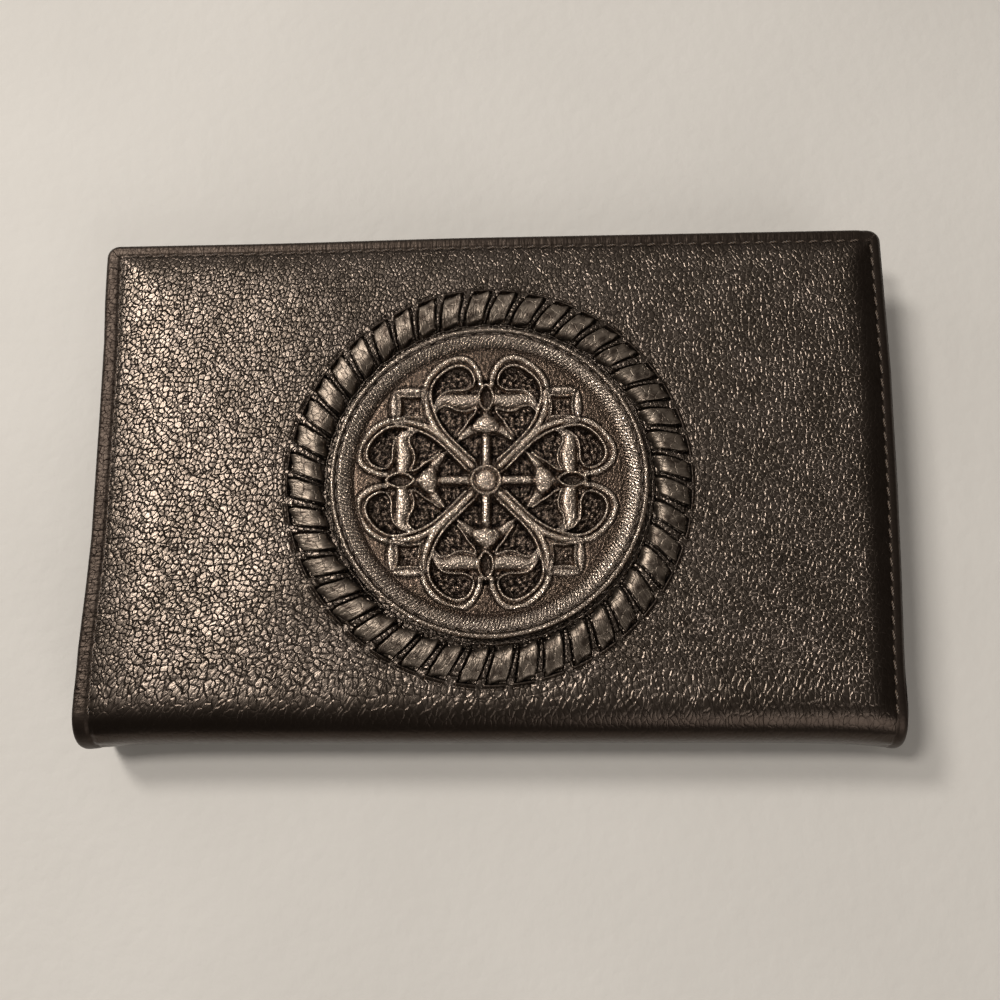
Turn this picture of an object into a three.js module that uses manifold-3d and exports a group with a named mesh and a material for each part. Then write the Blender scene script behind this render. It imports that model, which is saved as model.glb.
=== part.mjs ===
// A folding clutch wallet, closed: two padded leather covers joined by a round fold, with card
// pockets inside the front cover, a zipped coin pouch on the back cover, and a laced medallion.
// Millimetres, +Z up. The origin is the middle of the underside. The fold is at -Y, the free edge at +Y.
import * as THREE from "three";
import { mergeVertices } from "three/addons/utils/BufferGeometryUtils.js";
import Module from "manifold-3d";

const wasm = await Module();
wasm.setup();

// Overall sizes of the closed wallet
const width = 186;
const depth = 118;
const thickness = 21;

// Sheets and gaps
const clearance = 0.3;
const leather = 1.2;
const hemWidth = 4;
const lining = 0.5;
const liningInset = 1.5;
const board = 1.0;
const boardInset = 6.5;
const boardCorner = 3;
const cornerRadius = 3;
const sheetCorner = 2;

// Padded front cover: the field stands above the stitched border
const padding = 1.3;
const stitchInset = 3;
const fieldInset = 12;
const paddingMargin = 2;

// Card pockets for 85.6 x 54 mm cards, in two columns of three
const pocketSheet = 0.7;
const pocketWidth = 88;
const pocketColumnGap = 2;
const pocketRows = 3;
const pocketStep = 15;
const pocketDepth = 59;
const pocketSetback = 5;

// Coin pouch on the back cover, with its mouth towards the free edge
const pouchSheet = 0.7;
const pouchWidth = 170;
const pouchSpace = 3.8;
const pouchMouthSetback = 12;
const pouchFoldSetback = 14;
const gussetSheet = 1.2;
const slipPocketDepth = 65;

// Zip across the pouch's mouth
const tape = 0.4;
const tapeSeam = 10;
const tapeReach = 4.2;
const chainThickness = 1.4;
const toothLength = 0.45;
const toothPitch = 3;
const toothWidth = 1.5;
const rowGap = 0.7;
const stopLength = 1.6;
const sliderLength = 9;
const sliderPlate = 0.8;
const sliderCorner = 1.5;
const postClearance = 0.2;
const bailWidth = 1.6;
const bailWall = 0.7;
const bailClearance = 0.4;
const bailSpan = 3.0;
const pullLength = 18;
const pullThickness = 0.8;
const pullArm = 0.8;
const pullCorner = 1.2;

// Hidden magnets of the clasp, let into the cover boards
const magnetRadius = 6;
const magnetSpacing = 90;
const magnetMargin = 2.2;

// Laced medallion in the middle of the front cover
const discRadius = 36.8;
const discHeight = 1.9;
const discRecess = 0.7;
const discShoulder = 0.8;
const rimWidth = 5.4;
const rimBevel = 0.5;
const discFoot = 2.4;
const discPadding = 0.6;
const bossRadius = 3;
const bossSkirt = 1.5;
const bossHeight = 0.5;
const laceWidth = 8.4;
const laceHeight = 1.7;
const laceFloor = 0.5;
const laceWraps = 44;
const laceLean = THREE.MathUtils.degToRad(-4.8);
const laceEnd = 0.1; // share of a half wave cut off where a wrap goes down into the leather

// Levels and places that follow from the sizes
const foldRadius = thickness / 2;
const foldY = -depth / 2 + foldRadius;
const freeY = depth / 2;
const flatLength = freeY - foldY;
const foldCut = Math.PI / 4 - clearance / 2 / foldRadius;
const hem = leather + board;
const borderDrop = padding + clearance;
const hemInsideBack = hem;
const backLiningTop = hemInsideBack + lining;
const pouchFloor = backLiningTop + pouchSheet;
const pouchCeiling = pouchFloor + pouchSpace;
const pouchTop = pouchCeiling + pouchSheet;
const pouchMiddle = (pouchFloor + pouchCeiling) / 2;
const pouchMouthY = freeY - pouchMouthSetback;
const pouchFoldY = -depth / 2 + pouchFoldSetback;
const hemInsideFront = thickness - borderDrop - hem;
const frontLiningUnder = hemInsideFront - lining;
const chainY = pouchMouthY + tapeReach;
const chainHalf = pouchSpace / 2 - tape - clearance;
const toothRowBase = chainHalf - rowGap / 2 - toothLength;
const sliderPost = rowGap - 2 * postClearance;
const bailRoom = pullThickness + 2 * bailClearance;
const zipHalfLength = pouchWidth / 2 - gussetSheet - clearance;
const rowHalfLength = zipHalfLength - stopLength;
const sliderX = rowHalfLength - sliderLength / 2 - clearance;
const sliderFace = chainY + chainThickness / 2 + clearance + sliderPlate;
const pivotY = sliderFace + bailRoom / 2 + clearance;
const magnetY = freeY - boardInset - magnetMargin - magnetRadius - clearance;
const laceInner = discRadius + clearance;

const finishes = {
  outerLeather: new THREE.MeshStandardMaterial({ color: 0x4a3d33, roughness: 0.45, metalness: 0.5 }),
  innerLeather: new THREE.MeshStandardMaterial({ color: 0x3a2e27, roughness: 0.55, metalness: 0.1 }),
  liningCloth: new THREE.MeshStandardMaterial({ color: 0x2a211c, roughness: 0.9, metalness: 0 }),
  greyBoard: new THREE.MeshStandardMaterial({ color: 0x8d857a, roughness: 0.95, metalness: 0 }),
  foam: new THREE.MeshStandardMaterial({ color: 0xcfc8ba, roughness: 1, metalness: 0 }),
  zipTape: new THREE.MeshStandardMaterial({ color: 0x241c18, roughness: 0.9, metalness: 0 }),
  zipMetal: new THREE.MeshStandardMaterial({ color: 0x8f7a55, roughness: 0.35, metalness: 1 }),
  magnet: new THREE.MeshStandardMaterial({ color: 0xb4b4b6, roughness: 0.3, metalness: 1 }),
};

// A named mesh of one closed solid
function piece(name, geometry, finish) {
  const mesh = new THREE.Mesh(geometry, finishes[finish]);
  mesh.name = name;
  return mesh;
}

// Booleans on closed geometries
function solidOf(geometry) {
  const bare = geometry.index ? geometry.toNonIndexed() : geometry.clone();
  bare.deleteAttribute("normal");
  bare.deleteAttribute("uv");
  const merged = mergeVertices(bare, 1e-4);
  return new wasm.Manifold(
    new wasm.Mesh({
      numProp: 3,
      vertProperties: merged.attributes.position.array,
      triVerts: new Uint32Array(merged.index.array),
    }),
  );
}

function geometryOf(solid) {
  const mesh = solid.getMesh();
  const geometry = new THREE.BufferGeometry();
  geometry.setAttribute("position", new THREE.BufferAttribute(mesh.vertProperties, 3));
  geometry.setIndex(new THREE.BufferAttribute(mesh.triVerts, 1));
  return geometry;
}

function joined(...geometries) {
  return geometryOf(geometries.map(solidOf).reduce((whole, next) => whole.add(next)));
}

// A rectangle with round corners, as a shape in the plane
function roundedRectangle(x0, x1, y0, y1, radius) {
  const shape = new THREE.Shape();
  shape.moveTo(x0 + radius, y0);
  shape.lineTo(x1 - radius, y0);
  shape.absarc(x1 - radius, y0 + radius, radius, -Math.PI / 2, 0);
  shape.lineTo(x1, y1 - radius);
  shape.absarc(x1 - radius, y1 - radius, radius, 0, Math.PI / 2);
  shape.lineTo(x0 + radius, y1);
  shape.absarc(x0 + radius, y1 - radius, radius, Math.PI / 2, Math.PI);
  shape.lineTo(x0, y0 + radius);
  shape.absarc(x0 + radius, y0 + radius, radius, Math.PI, 1.5 * Math.PI);
  return shape;
}

// A flat sheet lying between two heights
function sheet(shape, bottom, top, curveSegments = 4) {
  const options = { depth: top - bottom, bevelEnabled: false, curveSegments };
  return new THREE.ExtrudeGeometry(shape, options).translate(0, 0, bottom);
}

// A sheet standing across Y, with its shape drawn in X and Z and its outer face at the given Y
function standingSheet(shape, face, depth) {
  return sheet(shape, 0, depth).rotateX(Math.PI / 2).translate(0, face, 0);
}

// A strip that closes one side of the pouch, from its back wall to its front wall
function gusset(x0, x1, y0, y1) {
  const strip = new THREE.BoxGeometry(x1 - x0, y1 - y0, pouchSpace);
  return strip.translate((x0 + x1) / 2, (y0 + y1) / 2, pouchMiddle);
}

// A closed skin over a grid: outer(i, j) and inner(i, j) give the two faces' points
function gridSkin(columns, rows, outer, inner, flip) {
  const positions = [];
  const index = [];
  const at = (face, i, j) => (face * rows + j) * columns + i;
  for (const face of [outer, inner]) {
    for (let j = 0; j < rows; j++) {
      for (let i = 0; i < columns; i++) positions.push(...face(i, j));
    }
  }
  const quad = (a, b, c, d) => index.push(...(flip ? [a, c, b, a, d, c] : [a, b, c, a, c, d]));
  for (let j = 0; j + 1 < rows; j++) {
    for (let i = 0; i + 1 < columns; i++) {
      quad(at(0, i, j), at(0, i + 1, j), at(0, i + 1, j + 1), at(0, i, j + 1));
      quad(at(1, i, j), at(1, i, j + 1), at(1, i + 1, j + 1), at(1, i + 1, j));
    }
  }
  for (let i = 0; i + 1 < columns; i++) {
    quad(at(0, i, 0), at(1, i, 0), at(1, i + 1, 0), at(0, i + 1, 0));
    quad(at(0, i, rows - 1), at(0, i + 1, rows - 1), at(1, i + 1, rows - 1), at(1, i, rows - 1));
  }
  const end = columns - 1;
  for (let j = 0; j + 1 < rows; j++) {
    quad(at(0, 0, j), at(0, 0, j + 1), at(1, 0, j + 1), at(1, 0, j));
    quad(at(0, end, j), at(1, end, j), at(1, end, j + 1), at(0, end, j + 1));
  }
  const geometry = new THREE.BufferGeometry();
  geometry.setAttribute("position", new THREE.Float32BufferAttribute(positions, 3));
  geometry.setIndex(index);
  return geometry;
}

// Grid lines: close together across the hem and the rise, wide apart over the field
const hemLines = [0, 0.5 * hemWidth, hemWidth, hemWidth + clearance];
const riseLines = [0.55, 0.75, 1].map((share) => fieldInset * share);
const edgeLines = [...hemLines, ...riseLines];
const fieldColumns = 5;
const fieldRows = 4;
const arcRows = 5;

// Evenly spaced values after one end and, if asked, up to the other
function spaced(from, to, count, withEnd) {
  const step = (to - from) / (withEnd ? count : count + 1);
  return Array.from({ length: count }, (_, k) => from + step * (k + 1));
}

function acrossLines() {
  const left = edgeLines.map((edge) => edge - width / 2);
  const inner = width / 2 - fieldInset;
  return [...left, ...spaced(-inner, inner, fieldColumns, false), ...left.map((x) => -x).reverse()];
}

function alongLines() {
  const hemEnd = flatLength - hemWidth;
  const field = spaced(fieldInset, hemEnd, fieldRows, false);
  const arc = spaced(flatLength, flatLength + foldRadius * foldCut, arcRows, true);
  return [...edgeLines, ...field, hemEnd, hemEnd + clearance, flatLength, ...arc];
}

// A square of side r mapped onto a quarter disc, so that the cover's two free corners are round
function roundCorner(x, along) {
  const a = Math.abs(x) - (width / 2 - cornerRadius);
  const b = cornerRadius - along;
  if (a <= 0 || b <= 0) return [x, along];
  const twice = 2 * cornerRadius * cornerRadius;
  const across = width / 2 - cornerRadius + a * Math.sqrt(1 - (b * b) / twice);
  return [Math.sign(x) * across, cornerRadius - b * Math.sqrt(1 - (a * a) / twice)];
}

// A point of a cover or of the fold, inset below the outer face. side is 1 for the front, -1 for the back
function coverPoint(side, x, along, inset) {
  const reach = foldRadius - inset;
  const turn = Math.max(0, along - flatLength) / foldRadius;
  const y = (along < flatLength ? freeY - along : foldY) - reach * Math.sin(turn);
  return [x, y, foldRadius + side * reach * Math.cos(turn)];
}

// How far a point is below the padded field, which it meets fieldInset from the stitched edges
function dropAt(x, along, drop) {
  const edge = Math.min(width / 2 - Math.abs(x), along);
  const fold = THREE.MathUtils.smoothstep(along, flatLength - fieldInset, flatLength);
  return drop * (1 - THREE.MathUtils.smoothstep(edge, stitchInset, fieldInset)) * (1 - fold);
}

// A cover's leather: its flat panel, with the edge turned in as a hem, and its share of the fold
function coverLeather(side, drop) {
  const across = acrossLines();
  const along = alongLines();
  const inHem = (x, v) => {
    const edge = Math.min(width / 2 - Math.abs(x), v);
    return edge < hemWidth + clearance / 2 && v < flatLength - hemWidth + clearance / 2;
  };
  const outer = (i, j) => {
    const [x, v] = roundCorner(across[i], along[j]);
    return coverPoint(side, x, v, dropAt(across[i], along[j], drop));
  };
  const inner = (i, j) => {
    const [x, v] = roundCorner(across[i], along[j]);
    const below = dropAt(across[i], along[j], drop) + leather;
    return coverPoint(side, x, v, inHem(across[i], along[j]) ? drop + hem : below);
  };
  return gridSkin(across.length, along.length, outer, inner, side > 0);
}

// A strip of the fold between the two fold lines
function foldStrip(halfWidth, insetOut, insetIn) {
  const point = (inset) => (i, j) => {
    const turn = foldCut * (j / arcRows - 1);
    const reach = foldRadius - inset;
    const x = i ? halfWidth : -halfWidth;
    return [x, foldY - reach * Math.cos(turn), foldRadius + reach * Math.sin(turn)];
  };
  return gridSkin(2, 2 * arcRows + 1, point(insetOut), point(insetIn), false);
}

// A stiffening board with round seats for the two clasp magnets
function coverBoard(bottom) {
  const half = width / 2 - boardInset;
  const shape = roundedRectangle(-half, half, foldY + clearance, freeY - boardInset, boardCorner);
  const seat = magnetRadius + clearance;
  for (const x of magnetPlaces()) {
    shape.holes.push(new THREE.Path().absarc(x, magnetY, seat, 0, 2 * Math.PI, true));
  }
  return sheet(shape, bottom, bottom + board, 10);
}

function magnetPlaces() {
  return [-magnetSpacing / 2, magnetSpacing / 2];
}

function magnetDisc(x, bottom) {
  const disc = new THREE.CylinderGeometry(magnetRadius, magnetRadius, board, 24);
  return disc.rotateX(Math.PI / 2).translate(x, magnetY, bottom + board / 2);
}

function liningSheet(bottom) {
  const half = width / 2 - liningInset;
  const shape = roundedRectangle(-half, half, foldY, freeY - liningInset, sheetCorner);
  return sheet(shape, bottom, bottom + lining);
}

// One row of zip teeth: a comb along X whose teeth point to the middle of the zip
function toothRow(side) {
  const root = pouchMiddle + side * chainHalf;
  const neck = root - side * toothRowBase;
  const tip = neck - side * toothLength;
  const shape = new THREE.Shape();
  const count = Math.floor((2 * rowHalfLength) / toothPitch);
  const first = (-(count - 1) * toothPitch) / 2;
  shape.moveTo(-rowHalfLength, root);
  shape.lineTo(-rowHalfLength, neck);
  for (let k = 0; k < count; k++) {
    const x = first + k * toothPitch;
    shape.lineTo(x - toothWidth / 2, neck);
    shape.lineTo(x - toothWidth / 2, tip);
    shape.lineTo(x + toothWidth / 2, tip);
    shape.lineTo(x + toothWidth / 2, neck);
  }
  shape.lineTo(rowHalfLength, neck);
  shape.lineTo(rowHalfLength, root);
  return standingSheet(shape, chainY + chainThickness / 2, chainThickness);
}

// A zip tape: sewn flat to the pouch wall, then turned up to carry its row of teeth
function zipTape(side) {
  const wall = side > 0 ? pouchCeiling : pouchFloor;
  const inside = wall - side * tape;
  const row = pouchMiddle + side * chainHalf;
  const shape = new THREE.Shape();
  shape.moveTo(pouchMouthY - tapeSeam, wall);
  shape.lineTo(chainY + tape / 2, wall);
  shape.lineTo(chainY + tape / 2, row);
  shape.lineTo(chainY - tape / 2, row);
  shape.lineTo(chainY - tape / 2, inside);
  shape.lineTo(pouchMouthY - tapeSeam, inside);
  const strip = sheet(shape, 0, 2 * zipHalfLength);
  // The shape's two axes become Y and Z, and its thickness runs along X
  const turn = new THREE.Matrix4().makeBasis(
    new THREE.Vector3(0, 1, 0),
    new THREE.Vector3(0, 0, 1),
    new THREE.Vector3(1, 0, 0),
  );
  return strip.applyMatrix4(turn).translate(-zipHalfLength, 0, 0);
}

function zipStop(side) {
  const middle = (side * (rowHalfLength + zipHalfLength)) / 2;
  const stop = new THREE.BoxGeometry(stopLength, chainThickness, 2 * chainHalf);
  return stop.translate(middle, chainY, pouchMiddle);
}

// The slider: two plates either side of the chain, the post between the rows, and the bail for the pull
function zipSlider() {
  const half = sliderLength / 2;
  const tall = (pouchTop - backLiningTop) / 2 - clearance;
  const innerFace = chainY - chainThickness / 2 - clearance;
  const foot = sliderFace - sliderPlate / 2;
  const heel = innerFace - sliderPlate / 2;
  const face = roundedRectangle(sliderX - half, sliderX + half, -tall, tall, sliderCorner);
  const outerPlate = standingSheet(face, sliderFace, sliderPlate).translate(0, 0, pouchMiddle);
  const innerPlate = new THREE.BoxGeometry(sliderLength, sliderPlate, 2 * chainHalf);
  innerPlate.translate(sliderX, heel, pouchMiddle);
  const post = new THREE.BoxGeometry(half, foot - heel, sliderPost);
  post.translate(sliderX, (foot + heel) / 2, pouchMiddle);
  const room = bailRoom / 2;
  const span = bailSpan / 2;
  const crown = pivotY + room + bailWall;
  const arch = new THREE.Shape();
  arch.moveTo(sliderX - span - bailWall, foot);
  arch.lineTo(sliderX + span + bailWall, foot);
  arch.lineTo(sliderX + span + bailWall, pivotY + room);
  arch.lineTo(sliderX + span, crown);
  arch.lineTo(sliderX - span, crown);
  arch.lineTo(sliderX - span - bailWall, pivotY + room);
  arch.holes.push(
    new THREE.Path([
      new THREE.Vector2(sliderX - span, pivotY - room),
      new THREE.Vector2(sliderX - span, pivotY + room),
      new THREE.Vector2(sliderX + span, pivotY + room),
      new THREE.Vector2(sliderX + span, pivotY - room),
    ]),
  );
  const bail = sheet(arch, pouchMiddle - bailWidth / 2, pouchMiddle + bailWidth / 2);
  return joined(outerPlate, innerPlate, post, bail);
}

// The pull: a tab with a window, whose end bar lies through the bail
function zipPull() {
  const bar = pullThickness / 2;
  const reach = bailSpan / 2 + 2 * bailWall + clearance;
  const window = bailWidth / 2 + clearance;
  const half = window + pullArm;
  const shape = roundedRectangle(sliderX - pullLength, sliderX + bar, -half, half, pullCorner);
  shape.holes.push(
    new THREE.Path([
      new THREE.Vector2(sliderX - reach, -window),
      new THREE.Vector2(sliderX - reach, window),
      new THREE.Vector2(sliderX - bar, window),
      new THREE.Vector2(sliderX - bar, -window),
    ]),
  );
  return standingSheet(shape, pivotY + bar, pullThickness).translate(0, 0, pouchMiddle);
}

// The medallion's disc: a raised rim round a recess with a boss, hollowed underneath for its padding
function medallionDisc() {
  const seat = discRadius - discFoot;
  const inner = discRadius - rimWidth;
  const recess = discHeight - discRecess;
  const points = [
    [0, discPadding],
    [seat, discPadding],
    [seat, 0],
    [discRadius, 0],
    [discRadius, discHeight - discShoulder],
    [discRadius - discShoulder, discHeight],
    [inner + rimBevel, discHeight],
    [inner, recess],
    [bossRadius + bossSkirt, recess],
    [bossRadius, recess + bossHeight],
    [0, recess + bossHeight],
  ].map(([r, z]) => new THREE.Vector2(r, z));
  return new THREE.LatheGeometry(points, 64).rotateX(Math.PI / 2).translate(0, 0, thickness);
}

function medallionPadding() {
  const radius = discRadius - discFoot - clearance;
  const disc = new THREE.CylinderGeometry(radius, radius, discPadding, 48);
  return disc.rotateX(Math.PI / 2).translate(0, 0, thickness + discPadding / 2);
}

// The lacing: a ring of slanting wraps, low in the gaps between them and crowned along each wrap
function medallionLacing() {
  const crowns = [0, 0.2, 0.5, 0.8, 1];
  const phases = [0, 0.2, 0.5, 0.8];
  const positions = [];
  const index = [];
  const sections = laceWraps * phases.length;
  const ring = crowns.length + 2;
  for (let k = 0; k < sections; k++) {
    const phase = phases[k % phases.length];
    const angle = ((Math.floor(k / phases.length) + phase) * 2 * Math.PI) / laceWraps;
    const place = (share, z) => {
      const radius = laceInner + laceWidth * share;
      const turn = angle + laceLean * (share - 0.5);
      positions.push(radius * Math.cos(turn), radius * Math.sin(turn), thickness + z);
    };
    for (const share of crowns) {
      const crown = Math.sqrt(Math.sin(Math.PI * (laceEnd + (1 - 2 * laceEnd) * share)));
      place(share, phase === 0 ? laceFloor : laceFloor + (laceHeight - laceFloor) * crown);
    }
    place(1, 0);
    place(0, 0);
  }
  for (let k = 0; k < sections; k++) {
    for (let s = 0; s < ring; s++) {
      const a = k * ring + s;
      const b = k * ring + ((s + 1) % ring);
      const c = ((k + 1) % sections) * ring + ((s + 1) % ring);
      const d = ((k + 1) % sections) * ring + s;
      index.push(a, b, c, a, c, d);
    }
  }
  const geometry = new THREE.BufferGeometry();
  geometry.setAttribute("position", new THREE.Float32BufferAttribute(positions, 3));
  geometry.setIndex(index);
  return geometry;
}

// Back cover: leather, board, magnets and lining, with the zipped coin pouch sewn to it
function backCover() {
  const group = new THREE.Group();
  group.add(piece("back_leather", coverLeather(-1, 0), "outerLeather"));
  group.add(piece("back_board", coverBoard(leather), "greyBoard"));
  group.add(piece("back_lining", liningSheet(hemInsideBack), "liningCloth"));
  magnetPlaces().forEach((x, k) => {
    group.add(piece(`back_magnet_${["left", "right"][k]}`, magnetDisc(x, leather), "magnet"));
  });
  const half = pouchWidth / 2;
  const wall = roundedRectangle(-half, half, pouchFoldY, pouchMouthY, sheetCorner);
  group.add(piece("coin_pouch_back", sheet(wall, backLiningTop, pouchFloor), "innerLeather"));
  group.add(piece("coin_pouch_front", sheet(wall, pouchCeiling, pouchTop), "innerLeather"));
  const slip = roundedRectangle(-half, half, pouchFoldY, pouchFoldY + slipPocketDepth, sheetCorner);
  const slipUnder = pouchTop + clearance;
  group.add(piece("slip_pocket", sheet(slip, slipUnder, slipUnder + pouchSheet), "innerLeather"));
  const foot = pouchFoldY + sheetCorner;
  const end = foot + gussetSheet;
  const side = half - gussetSheet;
  const lip = pouchMouthY - sheetCorner;
  group.add(piece("coin_pouch_gusset_left", gusset(-half, -side, end, lip), "innerLeather"));
  group.add(piece("coin_pouch_gusset_right", gusset(side, half, end, lip), "innerLeather"));
  group.add(piece("coin_pouch_gusset_bottom", gusset(-half, half, foot, end), "innerLeather"));
  group.add(piece("zip_tape_lower", zipTape(-1), "zipTape"));
  group.add(piece("zip_tape_upper", zipTape(1), "zipTape"));
  group.add(piece("zip_teeth_lower", toothRow(-1), "zipMetal"));
  group.add(piece("zip_teeth_upper", toothRow(1), "zipMetal"));
  group.add(piece("zip_stop_left", zipStop(-1), "zipMetal"));
  group.add(piece("zip_stop_right", zipStop(1), "zipMetal"));
  return group;
}

// Spine: the strip of the fold between the two fold lines, and its lining
function spine() {
  const group = new THREE.Group();
  const under = leather + clearance;
  group.add(piece("spine_leather", foldStrip(width / 2, 0, leather), "outerLeather"));
  group.add(piece("spine_lining", foldStrip(width / 2 - liningInset, under, under + lining), "liningCloth"));
  return group;
}

// Front cover: padded leather with the medallion outside and the card pockets inside
function frontCover() {
  const group = new THREE.Group();
  const inset = fieldInset + paddingMargin;
  const half = width / 2 - inset;
  const pad = roundedRectangle(-half, half, foldY + clearance, freeY - inset, boardCorner);
  const padBottom = hemInsideFront + board;
  group.add(piece("front_leather", coverLeather(1, borderDrop), "outerLeather"));
  group.add(piece("front_padding", sheet(pad, padBottom, padBottom + padding), "foam"));
  group.add(piece("front_board", coverBoard(hemInsideFront), "greyBoard"));
  group.add(piece("front_lining", liningSheet(frontLiningUnder), "liningCloth"));
  magnetPlaces().forEach((x, k) => {
    group.add(piece(`front_magnet_${["left", "right"][k]}`, magnetDisc(x, hemInsideFront), "magnet"));
  });
  for (let row = 0; row < pocketRows; row++) {
    const under = frontLiningUnder - (row + 1) * (pocketSheet + clearance);
    const mouth = freeY - pocketSetback - pocketDepth - pocketStep * (pocketRows - 1 - row);
    const right = pocketColumnGap / 2;
    const left = -right - pocketWidth;
    for (const [column, x] of [["left", left], ["right", right]]) {
      const shape = roundedRectangle(x, x + pocketWidth, mouth, freeY - pocketSetback, sheetCorner);
      const pocket = sheet(shape, under, under + pocketSheet);
      group.add(piece(`card_pocket_${column}_${row + 1}`, pocket, "innerLeather"));
    }
  }
  group.add(piece("medallion_padding", medallionPadding(), "foam"));
  group.add(piece("medallion_disc", medallionDisc(), "outerLeather"));
  group.add(piece("medallion_lacing", medallionLacing(), "outerLeather"));
  return group;
}

const wallet = new THREE.Group();
wallet.add(backCover(), spine(), frontCover());
wallet.add(piece("zip_slider", zipSlider(), "zipMetal"));
wallet.add(piece("zip_pull", zipPull(), "zipMetal"));

export default wallet;
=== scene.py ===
from functools import partial
import bmesh
import bpy
import numpy as np
from mathutils import Matrix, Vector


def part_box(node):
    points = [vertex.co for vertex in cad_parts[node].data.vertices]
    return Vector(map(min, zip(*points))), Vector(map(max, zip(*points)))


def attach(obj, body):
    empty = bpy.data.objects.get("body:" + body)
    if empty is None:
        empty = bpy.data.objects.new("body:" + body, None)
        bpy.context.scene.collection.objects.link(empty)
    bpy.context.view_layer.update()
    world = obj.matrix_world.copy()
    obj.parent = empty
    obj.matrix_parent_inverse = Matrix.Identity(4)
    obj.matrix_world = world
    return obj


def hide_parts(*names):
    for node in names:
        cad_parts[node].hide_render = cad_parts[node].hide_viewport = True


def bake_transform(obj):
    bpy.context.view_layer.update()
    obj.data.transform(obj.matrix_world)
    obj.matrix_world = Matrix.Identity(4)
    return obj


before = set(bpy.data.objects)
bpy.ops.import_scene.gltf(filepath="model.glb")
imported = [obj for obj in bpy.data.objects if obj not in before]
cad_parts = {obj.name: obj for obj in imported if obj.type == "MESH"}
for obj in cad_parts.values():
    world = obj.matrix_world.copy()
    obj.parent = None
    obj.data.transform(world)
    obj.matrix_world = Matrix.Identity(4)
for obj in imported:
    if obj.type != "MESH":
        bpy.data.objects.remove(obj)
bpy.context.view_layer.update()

mm = 0.001
fullTurn = 2 * np.pi


def nodeBox(name):
    # a CAD node's box in millimetres
    return [np.array(corner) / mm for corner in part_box(name)]


# The wallet's own sizes, in millimetres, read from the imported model
halfWidth, freeY, thickness = nodeBox("front_leather")[1]
foldRadius = thickness / 2
foldY = nodeBox("spine_leather")[0][1] + foldRadius
flatLength = freeY - foldY
quarterFold = foldRadius * np.pi / 2
coverLength = flatLength + quarterFold


def addObject(name, data, turn=np.eye(3), place=(0, 0, 0)):
    # puts new data into the scene, turned and placed in metres
    thing = bpy.data.objects.new(name, data)
    bpy.context.scene.collection.objects.link(thing)
    placed = np.eye(4)
    placed[:3, :3], placed[:3, 3] = turn, place
    thing.matrix_world = Matrix(placed.tolist())
    return thing


# Camera: the fit to the photo's corners and medallion, as three turns and a shift before the lens
cameraSet = dict(lens=36.18, sensor=36.0, clip=(0.01, 20), turns=(-12.469, -1.326, 0.379),
                 shift=(-2.0, 0.79, -247.37))


def makeCamera(setup):
    # the frame is turned about x, y and z and shifted before the lens; the camera takes the inverse
    a, b, c = np.radians(setup["turns"])
    turnX = np.array([[1, 0, 0], [0, np.cos(a), -np.sin(a)], [0, np.sin(a), np.cos(a)]])
    turnY = np.array([[np.cos(b), 0, np.sin(b)], [0, 1, 0], [-np.sin(b), 0, np.cos(b)]])
    turnZ = np.array([[np.cos(c), -np.sin(c), 0], [np.sin(c), np.cos(c), 0], [0, 0, 1]])
    turn = turnZ @ turnY @ turnX
    data = bpy.data.cameras.new("camera")
    data.lens, data.sensor_width = setup["lens"], setup["sensor"]
    data.clip_start, data.clip_end = setup["clip"]
    place = -turn.T @ np.array(setup["shift"]) * mm
    bpy.context.scene.camera = addObject("camera", data, turn.T, place)


makeCamera(cameraSet)
print("camera set")


# Helpers for surfaces

def smooth(t):
    # 0 to 1 with level ends
    t = np.clip(t, 0, 1)
    return t * t * (3 - 2 * t)


def dome(d, half, power=0.7):
    # 1 in the middle, falling steeply to 0 at half
    return np.clip(1 - (d / half) ** 2, 0, 1) ** power


def hump(d, width):
    # bell curve: 1 in the middle, nearly nothing at twice the width
    return np.exp(-(d / width) ** 2)


def roundOff(e, reach):
    # half round: 0 at the edge, 1 from reach inwards
    return np.sqrt(1 - (1 - np.clip(e / reach, 0, 1)) ** 2)


def unit(v):
    # vectors of length one
    return v / np.linalg.norm(v, axis=-1, keepdims=True)


def around(count):
    # that many angles, evenly round the circle
    return np.linspace(0, fullTurn, count + 1)[:-1]


def polar(r, turn, z):
    # points at a radius, an angle and a height
    return np.stack(np.broadcast_arrays(r * np.cos(turn), r * np.sin(turn), z), -1)


def graded(start, end, fine, coarse, reach, ends=(True, True)):
    # Steps grow from fine at the named ends to coarse at reach: the running sum of 1/step is cut evenly
    s = np.linspace(0, end - start, 6000)
    near = np.minimum(s if ends[0] else 1e9, s[-1] - s if ends[1] else 1e9)
    step = fine + (coarse - fine) * smooth(near / reach)
    total = np.concatenate([[0], np.cumsum((1 / step[1:] + 1 / step[:-1]) / 2 * np.diff(s))])
    return start + np.interp(np.linspace(0, total[-1], int(np.ceil(total[-1])) + 1), total, s)


def ripple(x, y, size, seed, waves=7):
    # Sum of sine waves of about that length in seeded directions, within about -1 to 1
    rng = np.random.default_rng(seed)
    turn, phase = rng.uniform(0, fullTurn, (2, waves))
    pace = fullTurn / (size * rng.uniform(0.7, 1.4, waves))
    along = np.multiply.outer(x, np.cos(turn)) + np.multiply.outer(y, np.sin(turn))
    return np.sin(along * pace + phase).sum(-1) / waves ** 0.5 / 1.4


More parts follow.
